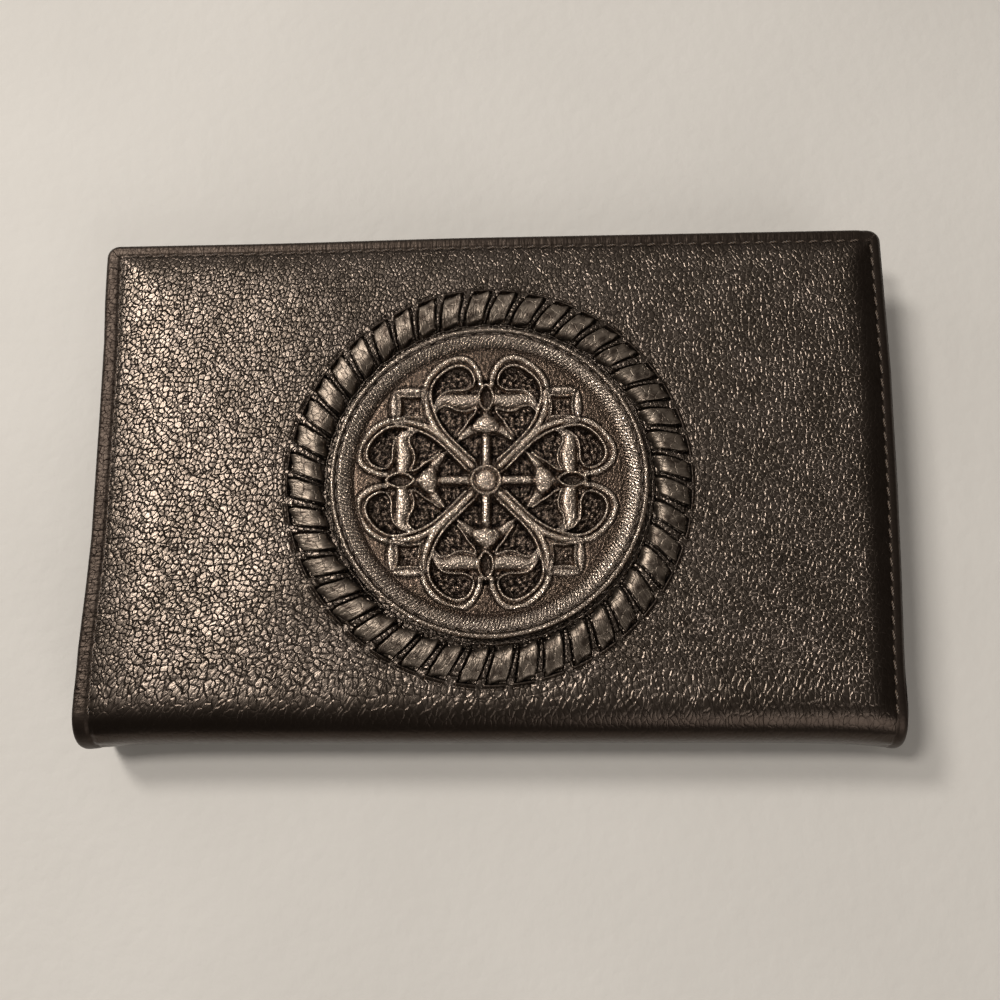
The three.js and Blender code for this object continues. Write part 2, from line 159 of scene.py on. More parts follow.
def pebbleCells(x, y, size, seed, table=64):
    # Distance to the nearest of the points that sit one to a cell, each shifted inside its cell, in cells
    rng = np.random.default_rng(seed)
    jitter = rng.uniform(0.1, 0.9, (table, table, 2))
    cx, cy = np.floor(x / size).astype(int), np.floor(y / size).astype(int)
    best = np.full(np.shape(x), 9.0)
    for i in (-1, 0, 1):
        for j in (-1, 0, 1):
            spot = jitter[(cx + i) % table, (cy + j) % table]
            gap = np.hypot(x / size - cx - i - spot[..., 0], y / size - cy - j - spot[..., 1])
            best = np.minimum(best, gap)
    return best


def curveThrough(points, count):
    # Catmull-Rom curve: each span's cubic takes its end slopes from the neighbours' difference
    p = np.array(points, float)
    p = np.concatenate([[2 * p[0] - p[1]], p, [2 * p[-1] - p[-2]]])
    s = np.linspace(0, len(p) - 3 - 1e-9, count)
    k = s.astype(int)
    t = (s - k)[:, None]
    a, b, c, d = p[k], p[k + 1], p[k + 2], p[k + 3]
    return b + 0.5 * t * (c - a + t * (2 * a - 5 * b + 4 * c - d + t * (3 * (b - c) + d - a)))


def gridFaces(rows, columns, wrapRows=False, wrapColumns=False):
    # Quads between neighbours of a grid whose point i, j has the number i * columns + j
    i = np.arange(rows if wrapRows else rows - 1)[:, None]
    j = np.arange(columns if wrapColumns else columns - 1)[None, :]
    k, l = (i + 1) % rows, (j + 1) % columns
    return np.stack([i * columns + j, k * columns + j, k * columns + l, i * columns + l], -1).reshape(-1, 4)


def copies(points):
    # points holds many tubes of one shape: each gets the same faces, moved on by its own number of points
    many, rows, columns = points.shape[:3]
    faces = gridFaces(rows, columns, wrapColumns=True)
    faces = faces[None] + (np.arange(many) * rows * columns)[:, None, None]
    return points.reshape(-1, 3), faces.reshape(-1, 4)


def closedTube(points):
    # a tube's rings, with each end drawn together in its middle
    first, last = (ring.mean(1, keepdims=True) + 0 * ring for ring in (points[:1], points[-1:]))
    points = np.concatenate([first, points, last])
    return points, gridFaces(*points.shape[:2], wrapColumns=True)


def makePiece(name, parts, material, marks=None, sharp=None):
    # parts: point arrays in millimetres with their quads; marks: one vector for each point, for the material
    points = [np.reshape(p, (-1, 3)) for p, quads in parts]
    first = np.cumsum([0] + [len(p) for p in points])
    faces = [quads + start for (p, quads), start in zip(parts, first)]
    mesh = bpy.data.meshes.new(name)
    mesh.from_pydata((np.concatenate(points) * mm).tolist(), [], np.concatenate(faces).tolist())
    for key, values in (marks or {}).items():
        layer = mesh.attributes.new(key, "FLOAT_VECTOR", "POINT")
        layer.data.foreach_set("vector", np.asarray(values, np.float32).ravel())
    solid = bmesh.new()
    solid.from_mesh(mesh)
    bmesh.ops.remove_doubles(solid, verts=solid.verts, dist=1e-7)
    bmesh.ops.recalc_face_normals(solid, faces=solid.faces)
    solid.to_mesh(mesh)
    solid.free()
    mesh.shade_smooth()
    if sharp:
        mesh.set_sharp_from_angle(angle=np.radians(sharp))
    mesh.materials.append(material)
    print(name, len(mesh.polygons), "faces")
    return addObject(name, mesh)


# Helpers for materials

def linear(hexColour):
    # sRGB hex to linear colour
    c = np.array([int(hexColour[i:i + 2], 16) for i in (1, 3, 5)]) / 255
    return (*np.where(c <= 0.04045, c / 12.92, ((c + 0.055) / 1.055) ** 2.4).tolist(), 1.0)


def addNode(tree, kind, inputs=None, out=0, stops=None, **settings):
    # adds a node, links or sets its inputs, and gives the output asked for, or a list of them for a tuple
    node = tree.nodes.new("ShaderNode" + kind)
    for key, value in settings.items():
        setattr(node, key, value)
    for key, value in (inputs or {}).items():
        if isinstance(value, bpy.types.NodeSocket):
            tree.links.new(value, node.inputs[key])
        else:
            node.inputs[key].default_value = value
    for k, (place, colour) in enumerate(stops or []):
        spot = node.color_ramp.elements[k] if k < 2 else node.color_ramp.elements.new(place)
        spot.position, spot.color = place, linear(colour)
    return [node.outputs[key] for key in out] if isinstance(out, tuple) else node.outputs[out]


def newMaterial(name, colour, sockets):
    # a material with its uniform values set on the shader, and addNode for its tree
    material = bpy.data.materials.new(name)
    material.use_nodes = True
    tree = material.node_tree
    for key, value in {"Base Color": linear(colour), **sockets}.items():
        tree.nodes["Principled BSDF"].inputs[key].default_value = value
    return material, partial(addNode, tree)


def linkSurface(material, colour, height, depth, rough=None, strength=1.0):
    # patterned colour, a bump whose height of 1 is depth in millimetres, and roughness go to the shader
    tree = material.node_tree
    bump = addNode(tree, "Bump", {"Height": height, "Strength": strength, "Distance": depth * mm})
    for key, source in {"Base Color": colour, "Normal": bump, "Roughness": rough}.items():
        if source is not None:
            tree.links.new(source, tree.nodes["Principled BSDF"].inputs[key])
    return material


cellEdge = dict(voronoi_dimensions="2D", feature="DISTANCE_TO_EDGE")


def crackedSkin(add, place, size, wide):
    # cells of about that size, each 0 at its border and 1 from wide inwards
    edge = add("TexVoronoi", {"Vector": place, "Scale": 1 / size}, **cellEdge)
    return add("MapRange", {"Value": edge, "From Max": wide}, interpolation_type="SMOOTHSTEP")


# Pebbled cowhide with a sprayed bronze pearl: small flat-topped pebbles, each tilted a little its own way,
# with fine creases painted dark as shade. It is drawn out where it is pulled round the fold, and wrinkled
# across the turned edge; round the fold and on the turned edge its colour is painted darker as shade. Sizes
# and depths are in millimetres; loose and unshaded scale the creases at the left and at the right.
hideSet = dict(crease="#120b08", top="#5e544b", pearl="#6b6057", fold="#362d27",
               pebble=1.1, random=0.95, split=0.55, wrinkle=2.6, wrinkleTurn=-0.6, edgeWrinkle=0.9,
               wander=2.2, wanderBy=1.2, uneven=1.7, unevenBy=(0.7, 1.5), fine=0.55, blotch=9.0,
               wrinkleLong=0.3, edgeLong=0.25, quiet=0.93, stripShade=0.8, wrinkleShade=0.3,
               creaseWide=(0.215, 0.1), splitWide=0.25, wrinkleWide=0.09,
               loose=(1.3, 1.0), unshaded=(0.9, 2.8), looseFrom=-55.0, looseTo=35.0,
               creaseDepth=0.106, splitDepth=0.012, tilt=0.05, dome=0.05, fineDepth=0.01,
               wrinkleDepth=0.055, edgeDepth=0.32, metallic=0.97, rough=(0.29, 0.5), edgeRough=0.16)


def pearlHide(s):
    material, add = newMaterial("pebbled_pearl_cowhide", s["top"], {"Metallic": s["metallic"]})
    grain, edge = (add("Attribute", out="Vector", attribute_name=key) for key in ("grain", "edge"))
    across, calmAndShade = add("SeparateXYZ", {"Vector": grain}, ("X", "Z"))
    strip = add("SeparateXYZ", {"Vector": edge}, "Z")
    wander = add("TexNoise", {"Vector": grain, "Scale": 1 / s["wander"], "Detail": 2.0}, "Color",
                 noise_dimensions="2D")
    drawn = add("VectorMath", {0: wander, 1: (s["wanderBy"], s["wanderBy"], 0), 2: grain},
                operation="MULTIPLY_ADD")
    drawn = add("VectorMath", {0: drawn, 1: (1, 1, 0)}, operation="MULTIPLY")
    cells = {"Vector": drawn, "Scale": 1 / s["pebble"], "Randomness": s["random"]}
    rift = add("TexVoronoi", cells, **cellEdge)
    uneven = add("TexNoise", {"Vector": grain, "Scale": 1 / s["uneven"], "Detail": 1.0},
                 noise_dimensions="2D")
    uneven = add("MapRange", {"Value": uneven, "From Min": 0.3, "From Max": 0.7,
                              "To Min": s["unevenBy"][0], "To Max": s["unevenBy"][1]})
    rift = add("Math", {0: rift, 1: uneven}, operation="MULTIPLY")
    # towards the right the hide is looser: its creases are wider, and the painted shade in them narrower
    walls = []
    for key, wide, kind in zip(("loose", "unshaded"), s["creaseWide"], ("LINEAR", "SMOOTHSTEP")):
        share = add("MapRange", {"Value": across, "From Min": s["looseFrom"], "From Max": s["looseTo"],
                                 "To Min": s[key][0], "To Max": s[key][1]})
        share = add("Math", {0: rift, 1: share}, operation="MULTIPLY")
        walls.append(add("MapRange", {"Value": share, "From Max": wide}, interpolation_type=kind))
    crease, line = walls
    split = crackedSkin(add, drawn, s["split"], s["splitWide"])
    middle, own = add("TexVoronoi", cells, ("Position", "Color"), voronoi_dimensions="2D", feature="F1")
    local = add("VectorMath", {0: drawn, 1: middle}, operation="SUBTRACT")
    lean = add("VectorMath", {0: own, 1: (0.5, 0.5, 0.5)}, operation="SUBTRACT")
    lean = add("VectorMath", {0: local, 1: lean}, "Value", operation="DOT_PRODUCT")
    bulge = add("VectorMath", {0: local, 1: local}, "Value", operation="DOT_PRODUCT")
    slant = add("Mapping", {"Vector": drawn, "Rotation": (0, 0, s["wrinkleTurn"])})
    slant = add("VectorMath", {0: slant, 1: (s["wrinkleLong"], 1, 0)}, operation="MULTIPLY")
    wrinkle = crackedSkin(add, slant, s["wrinkle"], s["wrinkleWide"])
    fine = add("TexNoise", {"Vector": grain, "Scale": 1 / s["fine"], "Detail": 3.0}, noise_dimensions="2D")
    # heights in millimetres, one layer on another
    skin = add("Math", {0: crease, 1: s["creaseDepth"]}, operation="MULTIPLY")
    for layer, share in ((lean, s["tilt"]), (bulge, -s["dome"]), (wrinkle, s["wrinkleDepth"]),
                         (split, s["splitDepth"]), (fine, s["fineDepth"])):
        skin = add("Math", {0: layer, 1: share, 2: skin}, operation="MULTIPLY_ADD")
    turned = add("VectorMath", {0: edge, 1: (1 / s["edgeWrinkle"], s["edgeLong"], 0)}, operation="MULTIPLY")
    ridges = add("TexNoise", {"Vector": turned, "Scale": 1.0, "Detail": 3.0}, noise_dimensions="2D")
    ridges = add("Math", {0: ridges, 1: s["edgeDepth"]}, operation="MULTIPLY")
    height = add("Mix", {0: strip, 2: skin, 3: ridges})
    loud = add("Math", {0: calmAndShade, 1: -s["quiet"], 2: 1.0}, operation="MULTIPLY_ADD")
    height = add("Math", {0: height, 1: loud}, operation="MULTIPLY")
    blotch = add("TexNoise", {"Vector": grain, "Scale": 1 / s["blotch"], "Detail": 3.0},
                 noise_dimensions="2D")
    tops = add("ValToRGB", {"Fac": blotch}, stops=[(0.35, s["top"]), (0.65, s["pearl"])])
    # round the fold and on the turned edge the colour is painted darker as shade, and the turned edge is
    # duller
    foldAndStripShade = add("Math", {0: strip, 1: s["stripShade"]}, operation="MULTIPLY")
    foldAndStripShade = add("Math", {0: foldAndStripShade, 1: calmAndShade}, operation="MAXIMUM")
    tops = add("Mix", {0: foldAndStripShade, 6: tops, 7: linear(s["fold"])}, 2, data_type="RGBA")
    # the long wrinkles are painted a little darker, as shade
    faint = add("Math", {0: wrinkle, 1: s["wrinkleShade"], 2: 1 - s["wrinkleShade"]}, operation="MULTIPLY_ADD")
    shade = add("Math", {0: line, 1: faint}, operation="MULTIPLY")
    shade = add("Math", {0: shade, 1: calmAndShade}, operation="MAXIMUM")
    # the crease colour is painted shade along the crease lines
    colour = add("Mix", {0: shade, 6: linear(s["crease"]), 7: tops}, 2, data_type="RGBA")
    rough = add("MapRange", {"Value": shade, "To Min": s["rough"][1], "To Max": s["rough"][0]})
    rough = add("Math", {0: strip, 1: s["edgeRough"], 2: rough}, operation="MULTIPLY_ADD")
    return linkSurface(material, colour, height, 1.0, rough)


# The same cowhide stamped hot under a die, coloured by height: high parts painted bright as a highlight,
# floors painted dark as shade, and pitted
embossSet = dict(low="#100a07", grit="#6e5f53", ground="#594b40", high="#d0bead",
                 pebble=0.65, pebbleWide=0.22, pebbleDepth=0.055, fine=0.45, fineDepth=0.085,
                 wrinkle=0.8, wrinkleDepth=0.14, metallic=0.95, rough=(0.17, 0.33))


def embossedHide(s):
    material, add = newMaterial("die_stamped_cowhide", s["ground"], {"Metallic": s["metallic"]})
    place = add("TexCoord", out="Object")
    relief, wrap = (add("Attribute", out="Vector", attribute_name=key) for key in ("relief", "wrap"))
    level, loud, rim = add("SeparateXYZ", {"Vector": relief}, ("X", "Y", "Z"))
    hollowShade = add("SeparateXYZ", {"Vector": wrap}, "Z")
    pebble = crackedSkin(add, place, s["pebble"] * mm, s["pebbleWide"])
    fine = add("TexNoise", {"Vector": place, "Scale": 1 / (s["fine"] * mm), "Detail": 2.0})
    skin = add("Math", {0: pebble, 1: s["pebbleDepth"]}, operation="MULTIPLY")
    skin = add("Math", {0: fine, 1: s["fineDepth"], 2: skin}, operation="MULTIPLY_ADD")
    skin = add("Math", {0: skin, 1: loud}, operation="MULTIPLY")
    # the rim's leather is gathered into fine folds that run slanting across it
    folds = add("TexWave", {"Vector": wrap, "Scale": np.pi / (10 * s["wrinkle"]), "Distortion": 6.0,
                            "Detail": 2.5, "Detail Scale": 2.0}, "Fac", bands_direction="X")
    folds = add("MapRange", {"Value": folds, "From Min": 0.1, "From Max": 0.6, "To Min": 1.0, "To Max": 0.0})
    folds = add("Math", {0: folds, 1: rim}, operation="MULTIPLY")
    skin = add("Math", {0: folds, 1: -s["wrinkleDepth"], 2: skin}, operation="MULTIPLY_ADD")
    # painted shade between the rim's folds and in the corners and grooves
    rimFoldShading = add("Math", {0: folds, 1: -0.7, 2: 1.0}, operation="MULTIPLY_ADD")
    unshaded = add("Math", {0: hollowShade, 1: -1.0, 2: 1.0}, operation="MULTIPLY_ADD")
    unshaded = add("Math", {0: unshaded, 1: rimFoldShading}, operation="MULTIPLY")
    # colour by height: the black low stop on the floors is painted shade and the pale high stop on the tops a
    # painted highlight; grit and ground are the leather's own colours
    colour = add("ValToRGB", {"Fac": level}, stops=[(0.0, s["low"]), (1.0, s["high"]), (0.2, s["grit"]),
                                                    (0.65, s["ground"])])
    colour = add("Mix", {0: unshaded, 6: linear(s["low"]), 7: colour}, 2, data_type="RGBA")
    rough = add("MapRange", {"Value": fine, "To Min": s["rough"][0], "To Max": s["rough"][1]})
    return linkSurface(material, colour, skin, 1.0, rough)


# Calf lace cut flat and pulled tight: satin, a little lighter than the hide, finely wrinkled along its length
laceSet = dict(dark="#463c34", light="#7c7064", fibre=0.5, fibreDepth=0.13, cloud=2.0,
               crack=2.4, crackWide=0.07, crackDepth=0.06, metallic=0.88, rough=(0.28, 0.48))


def calfLace(s):
    material, add = newMaterial("satin_calf_lace", s["light"], {"Metallic": s["metallic"]})
    lace = add("Attribute", out="Vector", attribute_name="lace")
    long = add("VectorMath", {0: lace, 1: (0.28 / s["fibre"], 1 / s["fibre"], 0)}, operation="MULTIPLY")
    fibre = add("TexNoise", {"Vector": long, "Scale": 1.0, "Detail": 3.0, "Distortion": 0.4},
                noise_dimensions="2D")
    cloud, wander = add("TexNoise", {"Vector": lace, "Scale": 1 / s["cloud"], "Detail": 3.0},
                        ("Fac", "Color"), noise_dimensions="2D")
    drawn = add("VectorMath", {0: wander, 1: (1.6, 1.6, 0), 2: lace}, operation="MULTIPLY_ADD")
    crack = crackedSkin(add, drawn, s["crack"], s["crackWide"])
    skin = add("Math", {0: fibre, 1: s["fibreDepth"]}, operation="MULTIPLY")
    skin = add("Math", {0: crack, 1: s["crackDepth"], 2: skin}, operation="MULTIPLY_ADD")
    colour = add("ValToRGB", {"Fac": cloud}, stops=[(0.3, s["dark"]), (0.6, s["light"])])
    rough = add("MapRange", {"Value": fibre, "To Min": s["rough"][0], "To Max": s["rough"][1]})
    return linkSurface(material, colour, skin, 1.0, rough)


# Waxed polyester thread, two plies: dark, with a slanting twist and a waxy gleam
threadSet = dict(dark="#231a15", light="#756557", twist=0.55, depth=0.12, rough=0.36)


def waxedThread(s):
    material, add = newMaterial("waxed_thread", s["light"], {"Roughness": s["rough"]})
    lay = add("Attribute", out="Vector", attribute_name="lay")
    ply = add("TexWave", {"Vector": lay, "Scale": 0.5 / s["twist"], "Distortion": 0.3}, "Fac",
              wave_type="BANDS", bands_direction="DIAGONAL")
    colour = add("ValToRGB", {"Fac": ply}, stops=[(0.1, s["dark"]), (0.8, s["light"])])
    return linkSurface(material, colour, ply, s["depth"])


# Smooth drum-dyed calf of the pockets: satin, fine pores, slightly uneven dye
calfSet = dict(dark="#3c2e25", light="#4e3b2d", dye=14.0, pore=0.42, crease=5.0, depth=0.05, specular=0.45,
               rough=(0.36, 0.6))


def pocketCalf(s):
    material, add = newMaterial("drum_dyed_calf", s["light"], {"Specular IOR Level": s["specular"]})
    place = add("TexCoord", out="Object")
    dye = add("TexNoise", {"Vector": place, "Scale": 1 / (s["dye"] * mm), "Detail": 5.0})
    pore = add("TexVoronoi", {"Vector": place, "Scale": 1 / (s["pore"] * mm)})
    crease = add("TexNoise", {"Vector": place, "Scale": 1 / (s["crease"] * mm), "Detail": 6.0})
    skin = add("Math", {0: crease, 1: 1.6, 2: pore}, operation="MULTIPLY_ADD")
    colour = add("ValToRGB", {"Fac": dye}, stops=[(0.35, s["dark"]), (0.68, s["light"])])
    rough = add("MapRange", {"Value": crease, "To Min": s["rough"][0], "To Max": s["rough"][1]})
    return linkSurface(material, colour, skin, s["depth"], rough)


# Woven cloth in plain weave: crossing threads with a soft sheen. The threads are drawn coarser than real
# lining threads (0.25 mm), so that the weave shows in the render.
clothSets = dict(
    lining=dict(name="woven_twill_lining", dark="#1d1613", light="#40342c", thread=0.7, rough=0.7),
    tape=dict(name="woven_zip_tape", dark="#100c0a", light="#362b24", thread=0.8, rough=0.78))
weaveSet = dict(slub=3.0, depth=0.12, sheen=0.25, sheenRough=0.4)


def wovenCloth(s):
    sheen = {"Sheen Weight": weaveSet["sheen"], "Sheen Roughness": weaveSet["sheenRough"]}
    material, add = newMaterial(s["name"], s["light"], {"Roughness": s["rough"], **sheen})
    place = add("TexCoord", out="Object")
    bands = {"Vector": place, "Scale": np.pi / (10 * s["thread"] * mm)}
    warp, weft = (add("TexWave", bands, "Fac", bands_direction=way) for way in "XY")
    weave = add("Math", {0: warp, 1: weft}, operation="MULTIPLY")
    slub = add("TexNoise", {"Vector": place, "Scale": 1 / (weaveSet["slub"] * mm), "Detail": 4.0})
    mixed = add("Math", {0: slub, 1: 0.5, 2: weave}, operation="MULTIPLY_ADD")
    colour = add("ValToRGB", {"Fac": mixed}, stops=[(0.2, s["dark"]), (0.95, s["light"])])
    return linkSurface(material, colour, mixed, weaveSet["depth"], strength=0.8)


# Fibrous or metal stock with a fine speckle: pressed board, needled felt, nickel plate, aged brass
stockSets = dict(
    board=dict(name="pressed_grey_board", low="#7c746a", high="#978f84", speck=0.8, depth=0.06, metallic=0.0,
               rough=(0.8, 0.95)),
    felt=dict(name="needled_padding_felt", low="#c3bbae", high="#dcd5c9", speck=1.2, depth=0.25, metallic=0.0,
              rough=(0.9, 1.0)),
    steel=dict(name="nickel_plated_steel", low="#a9a8a6", high="#c4c3c1", speck=1.5, depth=0.01, metallic=1.0,
               rough=(0.25, 0.4)),
    brass=dict(name="aged_cast_brass", low="#6b5836", high="#a58d5d", speck=1.1, depth=0.03, metallic=1.0,
               rough=(0.28, 0.5)))


def speckledStock(s):
    material, add = newMaterial(s["name"], s["high"], {"Metallic": s["metallic"]})
    place = add("TexCoord", out="Object")
    speck = add("TexNoise", {"Vector": place, "Scale": 1 / (s["speck"] * mm), "Detail": 5.0})
    colour = add("ValToRGB", {"Fac": speck}, stops=[(0.35, s["low"]), (0.7, s["high"])])
    rough = add("MapRange", {"Value": speck, "To Min": s["rough"][1], "To Max": s["rough"][0]})
    return linkSurface(material, colour, speck, s["depth"], rough, strength=0.7)


hide = pearlHide(hideSet)
stamped = embossedHide(embossSet)
lacing = calfLace(laceSet)
thread = waxedThread(threadSet)
calf = pocketCalf(calfSet)
liningCloth = wovenCloth(clothSets["lining"])
tapeCloth = wovenCloth(clothSets["tape"])
stock = {key: speckledStock(setup) for key, setup in stockSets.items()}
print("materials made")


# Covers: the hide runs from the free edge over the flat cover and half way round the fold.
# insetLeft and insetRight say how far in the hide is cut on its way to the fold
coverSet = dict(leather=1.2, hem=2.2, hemWidth=4.0, hemBlend=0.6, hemFade=6.0, corner=3.0, roll=1.25,
                stripCrown=0.1, crownPower=2.2, drift=0.5, driftSize=9.0, puckerSize=14.0,
                stitchIn=3.05, stitchSide=(3.85, 2.6), pitch=3.2, groove=0.42, grooveWidth=0.3,
                drop=1.2, dropReach=13.0, pucker=0.2, puckerReach=2.2, wave=0.16, waveSize=30.0,
                waveFrom=4.0, waveBlend=10.0, waveFade=12.0,
                rightWide=6.0, rightBlend=3.0, rightSlope=0.4, rightGrip=0.65,
                hollow=0.75, hollowRadius=48.3, hollowBlend=1.2,
                foldFlare=1.0, flareReach=8.0, foldSag=0.25, sagReach=20.0, foldPower=2.5,
                skew=1.4, skewBack=0.55, skewBackReach=60.0, skewReach=0.35, fine=0.17, coarse=0.9, reach=9.0,
                insetLeft=[(0, 0.6), (6, 0.65), (15, 0.95), (25, 1.55), (43, 2.0), (61, 2.35), (72, 2.6),
                           (84, 2.3), (97, 1.8), (124, 1.9)],
                insetRight=[(0, 0), (34, 0.1), (43, 0.4), (61, 0.9), (80, 1.7), (97, 2.6), (107, 3.0),
                            (124, 3.1)])
medallionSpot = np.array([0.0, -0.8])


def cutShift(x, v):
    # The hide is cut a little narrower towards the fold, and its free edge runs out a little to the right
    c = coverSet
    left, right = (np.interp(v, *np.transpose(c[key])) for key in ("insetLeft", "insetRight"))
    shift = (left * (halfWidth - x) - right * (halfWidth + x)) / (2 * halfWidth)
    out = c["skew"] * (0.5 + 0.5 * x / halfWidth) - c["skewBack"] * smooth(-x / c["skewBackReach"])
    return shift, out * smooth(1 - v / (c["skewReach"] * flatLength))


def coverPath(x, v, rise, side):
    # Flat from the free edge, then a quarter turn of the fold, a little squarer than round: its radius is
    # divided by the root of cos and sin to the power. rise stands square to the outer face
    shift, out = cutShift(x, v)
    turn = np.clip((v - flatLength) / foldRadius, 0, np.pi / 2)
    power = coverSet["foldPower"]
    radius = foldRadius / (np.cos(turn) ** power + np.sin(turn) ** power) ** (1 / power) + rise
    y = freeY - np.minimum(v, flatLength) - radius * np.sin(turn) + out
    z = foldRadius + radius * np.cos(turn)
    return np.stack([x + shift, y, z if side == "front" else thickness - z], -1)


def edgeDistance(x, v, half, corner):
    # distance from the two sides and the free edge, measured round the corner's arc near it
    ex, ev = half - np.abs(x), v
    arc = corner - np.hypot(np.clip(corner - ex, 0, None), np.clip(corner - ev, 0, None))
    return np.where((ex < corner) & (ev < corner), arc, np.minimum(ex, ev))


def seamDistance(x, v):
    # edge distance with the sides' scaled, so that the stitching stands at its own inset on each side
    inset = np.where(x < 0, *coverSet["stitchSide"])
    side = (halfWidth - np.abs(x)) * coverSet["stitchIn"] / inset
    return edgeDistance(halfWidth - side, v, halfWidth, coverSet["corner"])


def alongEdge(x, v, s, jump=400):
    # way along the cut edge: s at the sides, x at the free edge, a jump apart
    return np.where(halfWidth - np.abs(x) < v, s, x + jump)


def laceHollow(r):
    # depth of the cover's hollow under the laces, at a radius of the medallion
    c = coverSet
    return c["hollow"] * smooth((c["hollowRadius"] - r) / c["hollowBlend"])


def coverRise(x, v, side):
    # Outer face over its nominal surface: the sum of padded crown, turned strip, stitch groove, puckers,
    # flare at the fold's ends, slow waves and the hollow under the laces
    c = coverSet
    e = edgeDistance(x, v, halfWidth, c["corner"])
    inward = halfWidth - np.abs(x)
    seam = seamDistance(x, v) - c["stitchIn"]
    onStrip = np.clip(-seam / c["stitchIn"], 0, 1)
    turned = smooth((v - flatLength) / quarterFold)
    crown = np.clip(1 - seam / c["dropReach"], 0, 1) ** c["crownPower"]
    drop = c["drop"] * crown * (1 - turned) * (side == "front")
    fade = smooth((v - flatLength + c["hemFade"]) / c["hemFade"])
    hem = c["leather"] + (c["hem"] - c["leather"]) * (1 - fade)
    along = alongEdge(x, v, v)
    uneven = along + c["drift"] * ripple(along, e, c["driftSize"], 3)
    rise = -drop - hem / 2 * (1 - roundOff(e, c["roll"]))
    rise += c["stripCrown"] * np.sin(np.pi * np.clip(1 + seam / c["stitchIn"], 0, 1))
    # at the right border the groove is shallow and the strip slopes down outwards
    rightEdge = smooth((c["rightWide"] + x - halfWidth) / c["rightBlend"])
    rise -= c["rightSlope"] * rightEdge * onStrip * (1 - turned)
    grip = (0.75 + 0.25 * np.cos(fullTurn * along / c["pitch"])) * (1 - c["rightGrip"] * rightEdge)
    rise -= c["groove"] * grip * hump(seam, c["grooveWidth"])
    pull = np.where(seam > 0, np.exp(-seam / c["puckerReach"]), 0)
    pull = pull * (0.6 + 0.4 * ripple(along, e, c["puckerSize"], 5))
    rise += c["pucker"] * pull * np.sin(fullTurn * uneven / c["pitch"])
    sag = c["foldSag"] * smooth(inward / c["sagReach"])
    rise += c["foldFlare"] * turned * (np.exp(-inward / c["flareReach"]) - sag)
    if side == "front":
        flat = 1 - smooth((v - flatLength + c["waveFade"]) / c["waveFade"])
        flat = flat * smooth((e - c["waveFrom"]) / c["waveBlend"])
        rise += c["wave"] * ripple(x, v, c["waveSize"], 11) * flat
        shift, out = cutShift(x, v)
        rise -= laceHollow(np.hypot(x + shift - medallionSpot[0], freeY - v + out - medallionSpot[1]))
    return rise, drop, hem, e


def cornerInset(corner, away):
    # how far in a rounded corner's arc lies, at a distance from the end
    return corner - np.sqrt(corner ** 2 - np.clip(corner - away, 0, None) ** 2)


def coverGrid(half, length, corner, fine, coarse, reach):
    # x is drawn in along the corner's arc, so that the grid's border is the cut edge
    u = graded(-half, half, fine, coarse, reach) / half
    v = graded(0, length, fine, coarse, reach, ends=(True, False))
    return u[:, None] * (half - cornerInset(corner, v)), np.broadcast_to(v, (len(u), len(v)))


def shellFaces(rows, columns):
    # two grids that share their border, and a strip that closes the end at the fold
    size = rows * columns
    quads = gridFaces(rows, columns)
    end = np.arange(rows - 1) * columns + columns - 1
    strip = np.stack([end, end + columns, end + columns + size, end + size], -1)
    return np.concatenate([quads, quads[:, ::-1] + size, strip])


# How the grain lies on the hide. pull is the length before the fold over which it is drawn out; calmAndShade
# gives the most, the start and the reach of its smooth places, which are also painted darker as shade: round
# the fold, at the right border, at the free edge
grainSet = dict(lean=0.4, leanFrom=40.0, leanReach=130.0, leanLow=-60.0, pull=9.0, pace=0.9, stretch=0.4,
                calmAndShade=[(0.9, 1.5, 7.5), (0.8, 10.0, 5.0), (0.5, 7.5, 4.0)], strip=0.05, stripBlend=0.35)


def hideMarks(x, v, e, side):
    # grain: where each point lies on the unrolled hide, drawn out towards the fold, and how calm the grain
    # is, which also sets its painted shade; edge: way along the edge, way in from it, and how far the point
    # is on the turned strip, which also paints the strip darker as shade
    g, pull = grainSet, grainSet["pull"]
    s = v if side == "front" else 2 * coverLength - v
    y = np.clip(freeY - s, g["leanLow"], None)
    lean = g["lean"] * smooth((g["leanFrom"] - x) / g["leanReach"])
    toFold = s - flatLength + pull
    t = np.clip(toFold / pull, 0, 1)
    taken = pull * (t ** 3 - t ** 4 / 2) + np.clip(toFold - pull, 0, pull + 2 * quarterFold)
    ways = (v - flatLength, x - halfWidth, -s)
    calmAndShade = np.maximum.reduce([most * smooth((way + start) / reach)
                              for way, (most, start, reach) in zip(ways, g["calmAndShade"])])
    strip = 1 - smooth((seamDistance(x, v) - coverSet["stitchIn"] + g["strip"]) / g["stripBlend"])
    return dict(grain=np.stack([x - lean * y, g["pace"] * s - g["stretch"] * taken, calmAndShade], -1),
                edge=np.stack([alongEdge(x, v, s), e, strip], -1))


def makeCover(side):
    # Outer face and underside, a wall apart, which meet in a half round at the cut edge
    c = coverSet
    x, v = coverGrid(halfWidth, coverLength, c["corner"], c["fine"], c["coarse"], c["reach"])
    rise, drop, hem, e = coverRise(x, v, side)
    folded = 1 - smooth((e - c["hemWidth"]) / c["hemBlend"])
    wall = c["leather"] + (hem - c["leather"]) * folded
    under = -drop - wall + hem / 2 * (1 - roundOff(e, c["roll"]))
    points = np.stack([coverPath(x, v, rise, side), coverPath(x, v, under, side)])
    marks = {key: np.stack([value, value]) for key, value in hideMarks(x, v, e, side).items()}
    return makePiece(side + "_cover_hide", [(points, shellFaces(*x.shape))], hide, marks)


frontHide = makeCover("front")
backHide = makeCover("back")
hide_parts("front_leather")
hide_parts("back_leather", "spine_leather")
print("covers made")


# Lining: one cloth glued over the boards and round the inside of the fold
liningSet = dict(inset=1.5, corner=2.0, cloth=0.5, edge=0.3, foldOffset=1.5, foldStart=0.2, foldBlend=5.0,
                 fine=0.3, coarse=2.0, reach=6.0)


